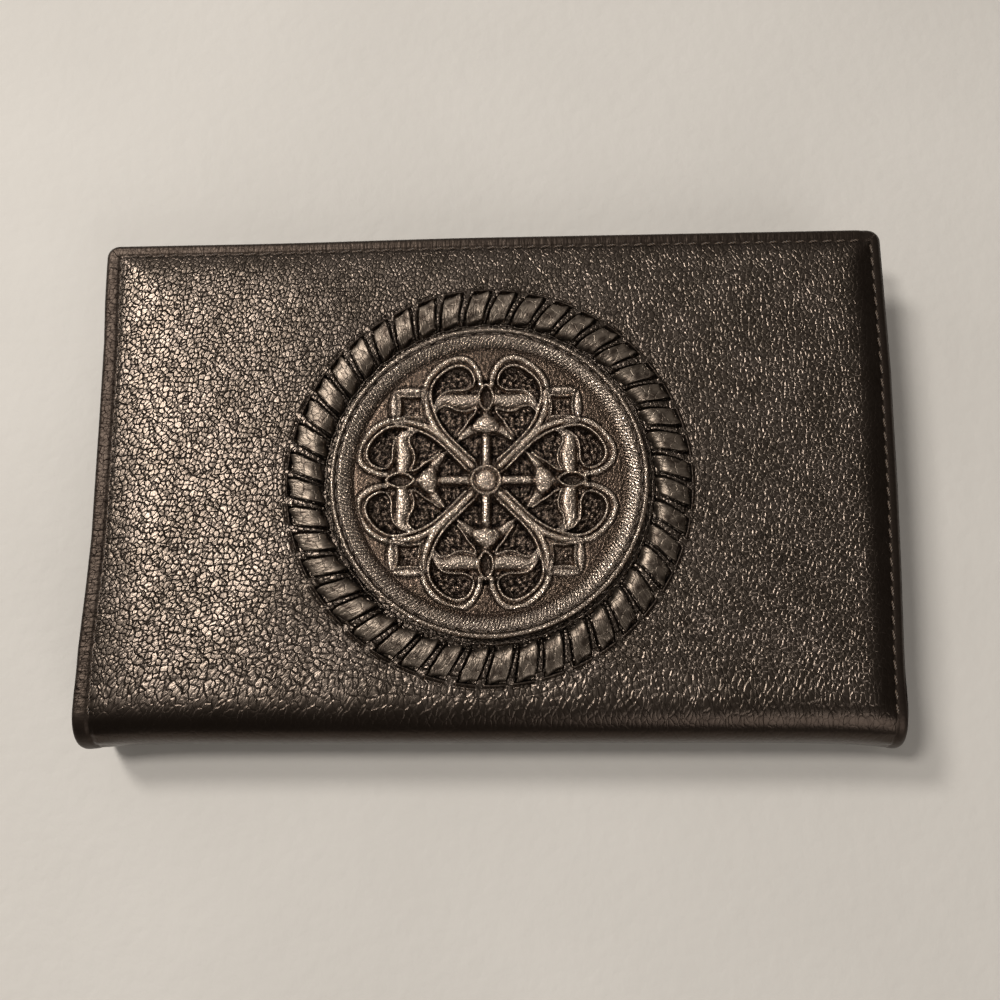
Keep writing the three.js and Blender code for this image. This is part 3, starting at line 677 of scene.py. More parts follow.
def makeLining(side):
    # two faces half the cloth from a middle surface, which moves from the board's face to the fold's inside
    c = liningSet
    half, length = halfWidth - c["inset"], coverLength - c["inset"]
    low, high = nodeBox(side + "_lining")
    flatOffset = thickness - high[2] if side == "front" else low[2]
    x, v = coverGrid(half, length, c["corner"], c["fine"], c["coarse"], c["reach"])
    e = edgeDistance(x, v, half, c["corner"])
    v = v + c["inset"]
    turned = smooth((v - flatLength - c["foldStart"]) / c["foldBlend"])
    offset = flatOffset + (c["foldOffset"] - flatOffset) * turned + c["cloth"] / 2
    body = c["cloth"] / 2 * roundOff(e, c["edge"])
    points = np.stack([coverPath(x, v, body - offset, side), coverPath(x, v, -body - offset, side)])
    return makePiece(side + "_cover_lining", [(points, shellFaces(*x.shape))], liningCloth)


frontLining = makeLining("front")
backLining = makeLining("back")
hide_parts("front_lining")
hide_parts("back_lining", "spine_lining")
print("linings made")


# Stitches: short capsules of thread that dip at both ends
capsuleSet = dict(rings=8, sides=6, apart=3.0)  # apart keeps one stitch's twist from the next one's
stitchSet = dict(length=2.45, radius=0.27, bow=0.16, slant=0.16, sink=dict(front=-0.06, back=-0.32),
                 firstSide=2.2, pastFold=6.0, firstTop=3.0, lastTop=2.5)


def stitches(start, end, up, setup):
    # Each runs from start to end, bowed towards up; its radius falls to nothing at both ends
    t = np.linspace(0, 1, capsuleSet["rings"])[None, :, None, None]
    turn = around(capsuleSet["sides"])[None, None, :, None]
    a, b, n = (np.asarray(p, float)[:, None, None, :] for p in (start, end, up))
    across = unit(np.cross(b - a, n))
    radius = setup["radius"] * np.sqrt(np.clip(1 - np.abs(2 * t - 1) ** 4, 0, 1))
    centre = a + (b - a) * t + n * setup["bow"] * (1 - (2 * t - 1) ** 2)
    points = centre + radius * (np.cos(turn) * across + np.sin(turn) * n)
    number = np.arange(len(points))[:, None, None]
    along = number * capsuleSet["apart"] + t[..., 0] * np.linalg.norm(b - a, axis=-1)
    lay = np.stack(np.broadcast_arrays(along, turn[..., 0] * setup["radius"], 0 * number), -1)
    return copies(points), lay.reshape(-1, 3)


def makeCoverStitches(side):
    # along both sides and the free edge, in the groove of the turned strip
    c, s = coverSet, stitchSet
    inset = c["stitchIn"]
    sides = np.arange(inset + s["firstSide"], flatLength + s["pastFold"], c["pitch"])
    left, right = c["stitchSide"][0] - halfWidth, halfWidth - c["stitchSide"][1]
    top = np.arange(left + s["firstTop"], right - s["lastTop"], c["pitch"])
    x = np.concatenate([np.full_like(sides, left), np.full_like(sides, right), top])
    v = np.concatenate([sides, sides, np.full_like(top, inset)])
    onTop = np.arange(len(x)) >= 2 * len(sides)
    reach, slant = s["length"] / 2, s["slant"]
    ends = [(x + way * np.where(onTop, reach, slant), v + way * np.where(onTop, -slant, reach))
            for way in (-1, 1)]
    level = np.maximum(*(coverRise(xe, ve, side)[0] + s["sink"][side] for xe, ve in ends))
    start, end = (coverPath(xe, ve, level, side) for xe, ve in ends)
    up = coverPath(x, v, level + 1, side) - coverPath(x, v, level, side)
    part, lay = stitches(start, end, up, s)
    return makePiece(side + "_cover_stitches", [part], thread, dict(lay=lay))


frontStitches = makeCoverStitches("front")
backStitches = makeCoverStitches("back")
print("edge stitching made")


# Medallion: a die-stamped disc with four heart scrolls round a boss, in a stitched rim
discSet = dict(cells=256, radius=35.75, shift=(-0.6, -0.3), ground=22.3, floor=-1.15, ridge=0.68, bright=0.62,
               pit=0.5, pitSize=1.0, foot=30.3, shoulder=30.9, rimTop=0.4,
               stitchRadius=34.35, grooveDepth=0.75, grooveWidth=0.42, edge=0.85, edgeDepth=0.8,
               step=0.08, climbPower=0.9, climbEnd=0.4, footGroove=0.12, footWidth=0.22)
discLow, discHigh = nodeBox("medallion_disc")
discRadius, discTop, discBase = discSet["radius"], discHigh[2], discLow[2]
spot = np.append(medallionSpot, 0)

# One half of a heart, as way sideways from its axis and way out from the boss, in millimetres
heartLine = [(3.2, 3.2), (6.0, 6.05), (9.0, 9.1), (11.2, 11.7), (12.4, 13.7), (13.2, 15.9), (13.8, 18.3),
             (14.0, 20.6), (13.5, 23.0), (12.2, 25.2), (10.3, 27.0), (8.3, 28.3), (6.2, 28.8), (4.2, 28.3),
             (2.8, 27.0), (1.9, 25.4), (1.4, 23.9), (1.3, 22.4)]
innerLine = [(2.6, 4.5), (5.1, 6.9), (8.1, 9.9), (10.0, 12.3), (11.2, 14.5), (12.1, 17.1), (12.6, 19.5),
             (12.5, 21.7), (11.5, 23.7), (9.9, 25.4), (8.0, 26.6), (6.0, 27.0), (4.2, 26.3), (3.1, 24.9),
             (2.6, 23.4)]
lobeLine = [(2.6, 23.4), (3.1, 22.1), (4.8, 21.2), (7.2, 21.1), (9.3, 20.7), (10.9, 19.2), (11.7, 17.4),
            (12.0, 15.9)]
leafUnder = [(2.2, 17.0), (3.6, 16.4), (5.1, 16.1), (6.8, 16.4), (8.3, 17.2), (9.9, 17.3), (11.0, 16.4),
             (11.8, 15.2)]
leafLine = [(2.2, 18.9), (4.4, 18.6), (6.4, 18.6), (8.3, 19.0), (10.0, 18.8), (11.1, 17.5), (11.9, 15.9)]
leafHalf = [1.6, 2.0, 2.0, 1.65, 1.35, 0.9, 0.25]
wingLine = [(2.2, 16.5), (2.7, 15.3), (3.9, 13.9), (5.1, 12.0), (6.3, 10.4)]
tipLine = [(1.5, 12.5), (3.5, 11.6), (5.0, 10.3), (6.2, 9.3)]
tipHalf = [1.7, 1.3, 0.95, 0.55]

# Half widths and tops of the drawn lines, then the bell with its stem and collar on the heart's axis, the eye
# where a heart's two lobes meet, the lozenge between two hearts and the boss
ornamentSet = dict(leafTop=0.36, tipTop=0.34, innerHalf=0.36, innerTop=0.46, heartHalf=0.74,
                   ridges=[(lobeLine, 0.42, 0.34), (leafUnder, 0.42, 0.3), (wingLine, 0.4, 0.34)],
                   bell=13.0, bellHalf=(3.0, 2.45), bellTop=1.95, stem=(3.0, 11.0), stemHalf=1.3, stemTop=1.6,
                   collar=(14.0, 16.6), collarHalf=1.5, collarTop=1.4, eye=(-2.21, 19.3, 4.31), eyeTop=1.75,
                   lozenge=17.2, recess=2.2, recessFloor=-1.05, frame=2.35, frameHalf=0.32, frameGroove=2.95,
                   bulgeEdge=4.75, bossRing=3.2, boss=2.55, bossEnd=3.95)


def nearest(q, p, line, batch=8000):
    # Distance to a curve's samples, side of it (positive to the left of its way) and share of its length
    way = unit(np.gradient(line, axis=0))
    flat = np.stack([q.ravel(), p.ravel()], -1)
    distance, side, share = (np.empty(len(flat)) for k in range(3))
    for a in range(0, len(flat), batch):
        part = flat[a:a + batch]
        k = ((part[:, None, :] - line[None, :, :]) ** 2).sum(-1).argmin(1)
        off = part - line[k]
        distance[a:a + batch] = np.hypot(off[:, 0], off[:, 1])
        side[a:a + batch] = way[k, 0] * off[:, 1] - way[k, 1] * off[:, 0]
        share[a:a + batch] = k / (len(line) - 1)
    return distance.reshape(q.shape), np.sign(side).reshape(q.shape), share.reshape(q.shape)


def leafHeight(q, p, line, half, floor, top):
    # Domed leaf whose half width changes along its middle line
    distance, side, share = nearest(q, p, curveThrough(line, 90))
    width = np.interp(share, np.linspace(0, 1, len(half)), half)
    return floor + (top - floor) * dome(distance, np.maximum(width, 0.05), 0.32)


def ridgeHeight(q, p, line, half, floor, top, power=0.45):
    # Rounded ridge along a curve, from the floor up
    return floor + (top - floor) * dome(nearest(q, p, curveThrough(line, 220))[0], half, power)


def heartRelief(x, y):
    # Height over the ground. Each point is turned to the nearest heart's axis: p out along it, q sideways
    c, o = discSet, ornamentSet
    p, q = np.maximum(np.abs(x), np.abs(y)), np.minimum(np.abs(x), np.abs(y))
    r = np.hypot(x, y)
    floor, below = c["floor"], -9
    pits = c["pit"] * (0.9 - 1.6 * pebbleCells(1.3 * p + 0.35 * q, 0.75 * q, c["pitSize"], 21))
    # inside the inner line the ground falls to the floor; past its end, where the lobes meet, p decides
    gap, side, share = nearest(q, p, curveThrough(innerLine, 420))
    inner = np.where((share > 0.997) & (q < innerLine[-1][0]), 0.6 - (p - innerLine[-1][1]), side * gap)
    inside = smooth((inner - 0.1) / 0.8)
    outer = nearest(q, p, curveThrough(heartLine, 420))[0]
    height = inside * (floor + pits)
    height = height - 0.25 * hump(outer - 0.86, 0.17) * (1 - inside)
    raised = [leafHeight(q, p, leafLine, leafHalf, floor, o["leafTop"]),
              leafHeight(q, p, tipLine, tipHalf, floor, o["tipTop"])]
    raised += [ridgeHeight(q, p, line, half, floor, top) for line, half, top in o["ridges"]]
    bell = np.hypot(q / o["bellHalf"][0], (p - o["bell"]) / o["bellHalf"][1])
    raised.append(floor + o["bellTop"] * dome(bell, 1.0, 0.4))
    for key, power, last in (("stem", 0.5, 0.6), ("collar", 0.6, 0.5)):
        long = smooth((p - o[key][0]) / 0.6) * smooth((o[key][1] - p) / last)
        raised.append(floor + o[key + "Top"] * dome(q, o[key + "Half"], power) * long)
    for part in raised:
        height = np.maximum(height, np.where(inside > 0, part, below))
    height = height - 0.4 * inside * hump(bell - 1.1, 0.1)
    for line, away, half, foot, top, power in ((innerLine, gap, o["innerHalf"], -0.2, o["innerTop"], 0.45),
                                               (heartLine, outer, o["heartHalf"], 0.0, c["ridge"], 0.5)):
        height = np.maximum(height, ridgeHeight(q, p, line, half, foot, top, power) + below * (away > half))
    eye = np.hypot(q - o["eye"][0], p - o["eye"][1]) - o["eye"][2]
    height = np.maximum(height, floor + o["eyeTop"] * dome(eye + 0.45, 0.58, 0.6))
    height = height + (floor + 0.1 - height) * smooth((-eye - 0.9) / 0.35)
    # lozenge on the diagonal with its corners drawn out, in a frame that bulges towards the rim
    a, b = np.abs(p - o["lozenge"]), np.abs(q - o["lozenge"])
    square = np.maximum(a, b) - 0.05 * np.minimum(a, b) ** 2
    wedge = smooth((q - 12.6) / 0.6) * smooth((p - 14.4) / 0.5) * (1 - inside)
    bulge = p - o["lozenge"] + 0.05 * b ** 2
    swell = 0.34 * smooth((o["bulgeEdge"] - bulge) / 0.45) * wedge
    height = np.where(wedge > 0, np.maximum(height, swell), height)
    height = height - 0.3 * hump(bulge - o["bulgeEdge"] - 0.15, 0.2) * wedge
    height = height + (o["recessFloor"] + 0.7 * pits - height) * smooth((o["recess"] - square) / 0.5)
    ridge = -0.1 + 0.66 * dome(square - o["frame"], o["frameHalf"])
    height = np.maximum(height, ridge + below * (np.abs(square - o["frame"]) > o["frameHalf"]))
    height = height - 0.3 * hump(square - o["frameGroove"], 0.2) * wedge
    # boss: a thin ring round a dome
    boss = np.maximum(-0.25 + 0.75 * dome(r - o["bossRing"], 0.42), -0.25 + 1.1 * dome(r, o["boss"], 0.55))
    near = smooth((o["bossEnd"] - r) / 0.35)
    height = height * (1 - near) + boss * near
    ground = (1 - inside) * smooth((r - o["bossEnd"] + 0.05) / 0.4)
    # corners where the antique wax gathers
    # painted shade in the corners of the recesses and along the lozenge frame's grooves
    corner = np.maximum(inside * hump(inner - 0.7, 0.5), 0.9 * hump(outer - 0.9, 0.2) * (1 - inside))
    frameLine = np.maximum(hump(bulge - o["bulgeEdge"] - 0.25, 0.22),
                           0.8 * hump(square - o["frameGroove"], 0.22))
    return height, np.maximum(corner, frameLine * wedge), ground


def rimHeight(r):
    # Step up from the ground, band that climbs outwards to the stitch groove, and a rounded edge
    c = discSet
    rise = discTop + c["rimTop"] - c["ground"]
    climb = np.clip((r - c["shoulder"]) / (c["stitchRadius"] - c["climbEnd"] - c["shoulder"]), 0, 1)
    step = smooth((r - c["foot"]) / (c["shoulder"] - c["foot"]))
    height = rise * (c["step"] * step + (1 - c["step"]) * climb ** c["climbPower"])
    height = height - c["grooveDepth"] * hump(r - c["stitchRadius"], c["grooveWidth"])
    height = height - c["footGroove"] * hump(r - c["foot"], c["footWidth"])
    return height - c["edgeDepth"] * (1 - roundOff(discRadius - r, c["edge"]))


def makeDisc():
    # Square grid laid on the disc ring by ring: a square ring of the grid becomes a circle, evenly cut
    c = discSet
    n = c["cells"] + 1
    a, b = np.meshgrid(np.linspace(-1, 1, n), np.linspace(-1, 1, n), indexing="ij")
    wide = np.abs(a) >= np.abs(b)
    ring = np.where(wide, a, b)
    eighth = np.pi / 4
    turn = np.where(wide, eighth * b / np.where(a == 0, 1, a),
                    2 * eighth - eighth * a / np.where(b == 0, 1, b))
    x, y = c["foot"] * ring * np.cos(turn), c["foot"] * ring * np.sin(turn)
    height, corner, ground = heartRelief(x - c["shift"][0], y - c["shift"][1])
    edge = smooth((np.hypot(x, y) - c["foot"] + 0.6) / 0.6)
    height = height * (1 - edge) + rimHeight(np.full_like(x, c["foot"])) * edge
    height = height + 0.035 * ripple(x, y, 1.1, 31) * ground * (1 - edge)
    top = np.stack([x, y, c["ground"] + height], -1)

    def brightness(h):
        # 0 on the floor, 1 at the tops; the colour follows it: painted shade low, painted highlight high
        return np.clip((h - c["floor"]) / (c["bright"] - c["floor"]), 0, 1)

    # the ridges' tops show more grain, and painted shade darkens the corners of the recesses
    skin = 1 + 1.4 * smooth((height - 0.42) / 0.15)
    relief = np.stack([brightness(height), skin, 0 * skin], -1)
    hollowShade = np.stack([0 * skin, 0 * skin, 0.85 * corner], -1)
    # rim and side, cut at the same angles as the ornament's border; the underside closes it
    angle = (around(4 * (n - 1)) + eighth)[:, None]
    r = np.concatenate([graded(c["foot"], discRadius - 0.9, 0.2, 0.3, 1.0),
                        discRadius - c["edge"] * (1 - np.sin(np.linspace(0.1, np.pi / 2, 8)))])
    z = c["ground"] + rimHeight(r)
    r = np.append(r, [discRadius, discRadius - 0.2, 0])
    z = np.append(z, [discBase + 0.15, discBase, discBase])
    rim = polar(r, angle, z)
    # painted shade in the stitch groove and at the foot of the rim
    rimGrooveShade = 0.9 * hump(r - c["stitchRadius"] - 0.12, 0.5) + 0.6 * hump(r - c["foot"] - 0.1, 0.25)
    rimSkin = 0.5 + smooth((r - c["shoulder"] + 0.5) / 0.6)
    band = smooth((r - c["shoulder"] + 0.7) / 0.8) * smooth((c["stitchRadius"] - 0.2 - r) / 0.5)
    # the rim is coloured by height as well: painted shade low, painted highlight high
    rimRelief = np.stack([0.9 * brightness(z - c["ground"]), rimSkin, band], -1)
    rimRelief = np.broadcast_to(rimRelief, rim.shape)
    wrap = np.stack(np.broadcast_arrays(angle * c["stitchRadius"] + 0.5 * r, r, rimGrooveShade), -1)
    marks = {key: np.concatenate([face.reshape(-1, 3), side.reshape(-1, 3)])
             for key, face, side in (("relief", relief, rimRelief), ("wrap", hollowShade, wrap))}
    parts = [(top + spot, gridFaces(n, n)), (rim + spot, gridFaces(*rim.shape[:2], wrapRows=True))]
    return makePiece("medallion_disc_stamped", parts, stamped, marks)


disc = makeDisc()
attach(disc, "front_cover")
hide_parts("medallion_disc")

rimStitchSet = dict(count=66, reach=1.2, slant=0.1, lift=0.05, radius=0.25, bow=0.14)


def makeRimStitches():
    # round the rim's groove, each a little slanting
    s, radius = rimStitchSet, discSet["stitchRadius"]
    z = discSet["ground"] + rimHeight(np.array(radius)) + s["lift"]
    ends = [polar(radius + way * s["slant"], around(s["count"]) + way * s["reach"] / radius, z) + spot
            for way in (-1, 1)]
    part, lay = stitches(*ends, np.tile([0, 0, 1.0], (s["count"], 1)), s)
    return makePiece("medallion_rim_stitches", [part], thread, dict(lay=lay))


rimStitches = makeRimStitches()
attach(rimStitches, "front_cover")
print("medallion made")


# Lacing: flat laces that come up from the groove at the disc, arch over the padded ring and dive into slits.
# arch gives the height of a lace's middle over the cover at each radius; section is a flat strip with
# slightly rounded edges, in half widths and in bodies; first, lean and twist are angles
strapSet = dict(count=44, inner=38.0, outer=44.6, lean=3.32, first=3.9, twist=0.35,
                half=(1.76, 1.9), body=0.33, apart=13.7, turnSpread=(-0.35, 0.35), wideSpread=(0.95, 1.04),
                highSpread=(0.96, 1.04), tiltSpread=(-0.05, 0.03), waist=0.02,
                arch=[(38.0, -0.6), (38.1, 0.0), (38.35, 0.5), (38.9, 0.9), (39.9, 1.17), (41.1, 1.2),
                      (42.4, 1.05), (43.6, 0.8), (44.2, 0.6), (44.5, 0.3), (44.6, -0.5)],
                section=[(-1, -0.6), (-1, 0.5), (-0.98, 0.8), (-0.93, 0.97), (-0.84, 1.05), (-0.45, 1.08),
                         (0, 1.09), (0.45, 1.08), (0.84, 1.05), (0.93, 0.97), (0.98, 0.8), (1, 0.5),
                         (1, -0.6), (0, -0.8)])


def leanBack(r):
    # angle by which a lace lags behind its middle at a radius
    s = strapSet
    return np.radians(s["lean"]) * (0.5 - (r - s["inner"]) / (s["outer"] - s["inner"]))


def halfLace(r):
    # a lace's half width at a radius
    s = strapSet
    return np.interp(r, [s["inner"], s["outer"]], s["half"])


def makeLacing():
    # The section is carried along each lace's arch, across it and square to it
    s = strapSet
    rng = np.random.default_rng(44)
    many = (s["count"], 1)
    number = np.arange(s["count"])[:, None]
    angle = np.radians(s["first"] + number * 360 / s["count"] + rng.uniform(*s["turnSpread"], many))
    wide, height, tilt = (rng.uniform(*s[key], many) for key in ("wideSpread", "highSpread", "tiltSpread"))
    r, z = np.moveaxis(curveThrough(s["arch"], 34)[None], -1, 0)
    turn = angle + leanBack(r)
    line = polar(r, turn, discBase + height * z)
    way = unit(np.gradient(line, axis=1))
    side = np.cross([0, 0, 1.0], polar(1, turn + s["twist"], 0))
    side = unit(side - (side * way).sum(-1, keepdims=True) * way)
    up = np.cross(way, side)
    w, n = np.transpose(s["section"])
    out = (wide * halfLace(r) * (1 - s["waist"] * np.cos(r + angle * 9)))[..., None] * w
    rise = s["body"] * n + tilt[..., None] * w
    points = line[:, :, None] + out[..., None] * side[:, :, None] + rise[..., None] * up[:, :, None] + spot
    lace = np.stack(np.broadcast_arrays(r[..., None] + s["apart"] * number[..., None], out, 0 * rise), -1)
    piece = makePiece("medallion_laces", [copies(points)], lacing, dict(lace=lace))
    return piece, angle, wide


laces, laceAngle, laceWide = makeLacing()
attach(laces, "front_cover")
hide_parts("medallion_lacing")

# rings: the radii at which the band is cut, as start, end and count
bandSet = dict(rings=[(36.3, 43.8, 26), (44.0, 47.0, 22), (47.3, 49.2, 7)], cuts=32, floor=20.1,
               between=0.26, under=0.6, slot=0.95, slotFrom=44.3, slotTo=45.5, lip=0.5, lipRadius=45.75,
               lipWidth=0.27, lipDull=0.9, dent=0.3, dentRadius=46.45, dentWidth=0.28,
               swell=0.3, swellRadius=46.8, swellReach=2.4, innerEdge=37.7, innerDrop=0.9, ringMiddle=41.0,
               ringEnd=44.0, outer=49.2, outerDrop=0.35, dropReach=0.6, lift=0.04)


def makeSlitBand(angle, wide):
    # The hide under the laces, as height over radius and angle: a strip that stands up between each two
    # laces, a slot at each lace's outer end with a raised lip, and a smooth run out into the cover
    g, s = bandSet, strapSet
    turn = around(s["count"] * g["cuts"])[:, None]
    r = np.concatenate([np.linspace(*run) for run in g["rings"]])[None, :]
    pitch = fullTurn / s["count"]
    k = np.round((turn - leanBack(r) - np.radians(s["first"])) / pitch).astype(int) % s["count"]
    off = (turn - leanBack(r) - angle[k, 0] + np.pi) % fullTurn - np.pi
    way = np.cos(np.arctan(g["ringMiddle"] * np.radians(s["lean"]) / (s["outer"] - s["inner"])))
    aside = np.abs(off) * r * way - halfLace(r) * wide[k, 0]
    arch = np.interp(r, *np.transpose(curveThrough(s["arch"], 200)[20:-20]))
    ring = arch - g["under"] + (g["under"] + g["between"]) * smooth((aside - 0.25) / 0.35)
    x, y = r * np.cos(turn) + spot[0], r * np.sin(turn) + spot[1]
    # back to where the point lies on the cut hide
    shift, out = cutShift(x, freeY - y)
    flatX, flatV = x - shift, freeY - y + out
    rise, drop, hem, e = coverRise(flatX, flatV, "front")
    end = smooth((0.6 - aside) / 0.4)
    lip = hump(r - g["lipRadius"], g["lipWidth"]) * end
    outer = rise + laceHollow(r) + g["swell"] * smooth((g["swellRadius"] - r) / g["swellReach"])
    outer = outer + g["lip"] * lip - g["dent"] * hump(r - g["dentRadius"], g["dentWidth"]) * end
    z = ring + (outer - ring) * smooth((r - g["ringEnd"]) / 0.5)
    slot = smooth((r - g["slotFrom"]) / 0.2) * smooth((g["slotTo"] - r) / 0.25) * smooth((0.3 - aside) / 0.3)
    reach = g["dropReach"]
    ends = g["outerDrop"] * smooth((r - g["outer"] + reach) / reach)
    ends = ends + g["innerDrop"] * smooth((g["innerEdge"] - r) / reach)
    top = np.stack(np.broadcast_arrays(x, y, discBase + g["lift"] + z - g["slot"] * slot - ends), -1)
    foot = top[:, [-1, 0]] * [1, 1, 0] + [0, 0, g["floor"]]
    points = np.concatenate([top, foot], 1)
    marks = hideMarks(flatX, flatV, e, "front")
    # the lip takes the turned strip's mark: rougher and painted darker as shade
    marks["edge"][..., 2] = np.maximum(marks["edge"][..., 2], g["lipDull"] * lip)
    marks = {key: np.concatenate([value, value[:, [-1, 0]]], 1) for key, value in marks.items()}
    return makePiece("medallion_slit_band", [(points, gridFaces(*points.shape[:2], True, True))], hide, marks)


slitBand = makeSlitBand(laceAngle, laceWide)
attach(slitBand, "front_cover")

pipingSet = dict(radius=36.8, nick=0.14, half=(0.2, 0.24), lift=0.5, dip=0.1, cuts=440, sides=8, calmAndShade=0.2)


def makeGrooveCord():
    # Thin piping that shows in the groove between the disc and the laces, nicked outwards in each gap
    c, s = pipingSet, strapSet
    turn, spin = around(c["cuts"])[:, None], around(c["sides"])[None, :]
    gap = np.cos(s["count"] * (turn - np.radians(s["first"] + s["lean"] / 2)))
    r = c["radius"] - c["nick"] * gap + c["half"][0] * np.cos(spin)
    z = discBase + c["lift"] - c["dip"] * gap + c["half"][1] * np.sin(spin)
    points = polar(r, turn, z) + spot
    # the piping is a little calm, and painted a little darker as shade
    marks = dict(grain=points * [1, 1, 0] + [0, 0, c["calmAndShade"]], edge=0 * points + [0, 9, 0])
    quads = gridFaces(*points.shape[:2], True, True)
    return makePiece("medallion_groove_piping", [(points, quads)], hide, marks)


grooveCord = makeGrooveCord()
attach(grooveCord, "front_cover")
print("lacing made")


# Panels: pockets, pouch walls and pads are closed sheets with rounded edges

def panel(low, high, corner, lift=None, press=None, edge=None, fine=0.2, coarse=2.2, reach=5.0):
    # Rounded rectangle whose two faces stand half the thickness from a middle surface and meet in a half
    # round. lift moves the middle surface, press draws both faces in
    middle, half = (low + high) / 2, (high - low) / 2
    u, y = (graded(-reachOut, reachOut, fine, coarse, reach) for reachOut in half[:2])
    x = u[:, None] / half[0] * (half[0] - cornerInset(corner, half[1] - np.abs(y)))
    y = np.broadcast_to(y, x.shape)
    e = edgeDistance(x, half[1] - np.abs(y), half[0], corner)
    x, y = x + middle[0], y + middle[1]
    body = half[2] * roundOff(e, edge or half[2]) - (press(x, y, e) if press else 0)
    z = middle[2] + (lift(x, y, e) if lift else 0)
    points = np.stack([np.stack([x, y, z + way * body], -1) for way in (1, -1)])
    quads = gridFaces(*x.shape)
    return points, np.concatenate([quads, quads[:, ::-1] + x.size])


# Card pockets: the mouth is turned in and creased, the sides are sewn, the middle stands a little off
pocketSet = dict(corner=2.0, turned=2.2, crease=0.13, creaseWide=0.28, bulge=0.16, wave=0.06, waveSize=26.0,
                 stitchIn=1.8)
columns = ("left", "right")
pocketNames = [f"card_pocket_{side}_{k}" for side in columns for k in (1, 2, 3)]


def mouthCrease(away, e):
    # groove where the turned-in mouth ends, at a distance from the mouth
    c = pocketSet
    return c["crease"] * hump(away - c["turned"], c["creaseWide"]) * smooth(e / 1.5)


def makePocket(name):
    # The middle stands off as a parabola across, most at the mouth
    c = pocketSet
    low, high = nodeBox(name)
    mouth, foot = low[1], high[1]
    middle, half = (low[0] + high[0]) / 2, (high[0] - low[0]) / 2

    def bulge(x, y, e):
        across = 1 - ((x - middle) / half) ** 2
        uneven = c["wave"] * ripple(x, y, c["waveSize"], len(name)) * smooth(e / 8)
        return uneven - c["bulge"] * across * smooth((foot - y) / (foot - mouth))

    def crease(x, y, e):
        return mouthCrease(y - mouth, e)

    return makePiece(name + "_calf", [panel(low, high, c["corner"], bulge, crease)], calf)


for name in pocketNames:
    piece = makePocket(name)
    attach(piece, "front_cover")
    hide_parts(name)
print("card pockets made")


# Coin pouch and slip pocket on the back cover: how far each wall swells, and whether its mouth is turned in
wallSet = dict(coin_pouch_back=(0.0, False), coin_pouch_front=(0.12, False), slip_pocket=(0.45, True))
pouchSet = dict(wave=0.05, waveSize=30.0, gussetSkin=0.45, gussetWave=0.06, gussetWaveSize=18.0)


def makeWall(name, most, turnedIn):
    # The wall swells as a parabola both ways
    c = pouchSet
    low, high = nodeBox(name)
    middle, half = (low + high) / 2, (high - low) / 2

    def swell(x, y, e):
        both = (1 - ((x - middle[0]) / half[0]) ** 2) * (1 - ((y - middle[1]) / half[1]) ** 2)
        return most * both + c["wave"] * ripple(x, y, c["waveSize"], len(name)) * smooth(e / 8)

    def crease(x, y, e):
        return mouthCrease(high[1] - y, e) * turnedIn

    return makePiece(name + "_calf", [panel(low, high, pocketSet["corner"], swell, crease)], calf)


for name, (most, turnedIn) in wallSet.items():
    piece = makeWall(name, most, turnedIn)
    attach(piece, "back_cover")
    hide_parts(name)


def makeGusset(name):
    # Strip folded inwards like a bellows: its middle stands in by the fold's depth, a sine from wall to wall
    c = pouchSet
    low, high = nodeBox(name)
    along = 0 if high[0] - low[0] > high[1] - low[1] else 1
    across = 1 - along
    outward = -1 if name.endswith(("left", "bottom")) else 1
    s = graded(low[along], high[along], 0.4, 2.5, 4.0)[:, None]
    k = np.linspace(0, 1, 22)
    t = np.concatenate([k, k[::-1]])[None, :]
    skin = c["gussetSkin"] * np.repeat([0, 1], len(k))[None, :]
    outer = high[across] if outward > 0 else low[across]
    deep = high[across] - low[across] - 0.5
    uneven = 1 + c["gussetWave"] * ripple(s, 0 * s, c["gussetWaveSize"], 4)
    points = np.empty((len(s), t.shape[1], 3))
    points[..., along] = s
    points[..., across] = outer - outward * (skin + deep * np.sin(np.pi * t) ** 1.3 * uneven)
    points[..., 2] = low[2] + (high[2] - low[2]) * t
    return makePiece(name + "_calf", [closedTube(points)], calf, sharp=60)


for name in ("coin_pouch_gusset_left", "coin_pouch_gusset_right", "coin_pouch_gusset_bottom"):
    piece = makeGusset(name)
    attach(piece, "back_cover")
    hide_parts(name)
print("coin pouch made")


# Seams of the pockets and the pouch: stitches on the face that shows when the wallet is open
seamSet = dict(pitch=3.0, length=2.2, radius=0.2, bow=0.1)


def seamRow(first, last, z, up):
    # evenly pitched stitches between two points of a face
    first, last = np.array([*first, z], float), np.array([*last, z], float)
    way = unit(last - first)
    place = np.arange(seamSet["pitch"] / 2, np.linalg.norm(last - first), seamSet["pitch"])[:, None]
    start, end = (first + way * (place + reach * seamSet["length"] / 2) for reach in (-1, 1))
    return start, end, np.tile([0, 0, float(up)], (len(place), 1))


def makeSeam(name, rows):
    # all rows of stitches as one piece
    start, end, up = (np.concatenate(part) for part in zip(*rows))
    part, lay = stitches(start, end, up, seamSet)
    return makePiece(name, [part], thread, dict(lay=lay))


def pocketSeams():
    # down both sides of each pocket as far as the next, and along the foot of the last
    rows, c = [], pocketSet["stitchIn"]
    for side in columns:
        boxes = [nodeBox(f"card_pocket_{side}_{k}") for k in (1, 2, 3)]
        foot = boxes[2][1][1] - c
        stops = [box[0][1] for box in boxes] + [foot]
        for k, (low, high) in enumerate(boxes):
            left, right, z = low[0] + c, high[0] - c, low[2] + 0.02
            rows += [seamRow((x, stops[k] + 0.6), (x, stops[k + 1] - 0.4), z, -1) for x in (left, right)]
        rows.append(seamRow((left, foot), (right, foot), z, -1))
    return rows


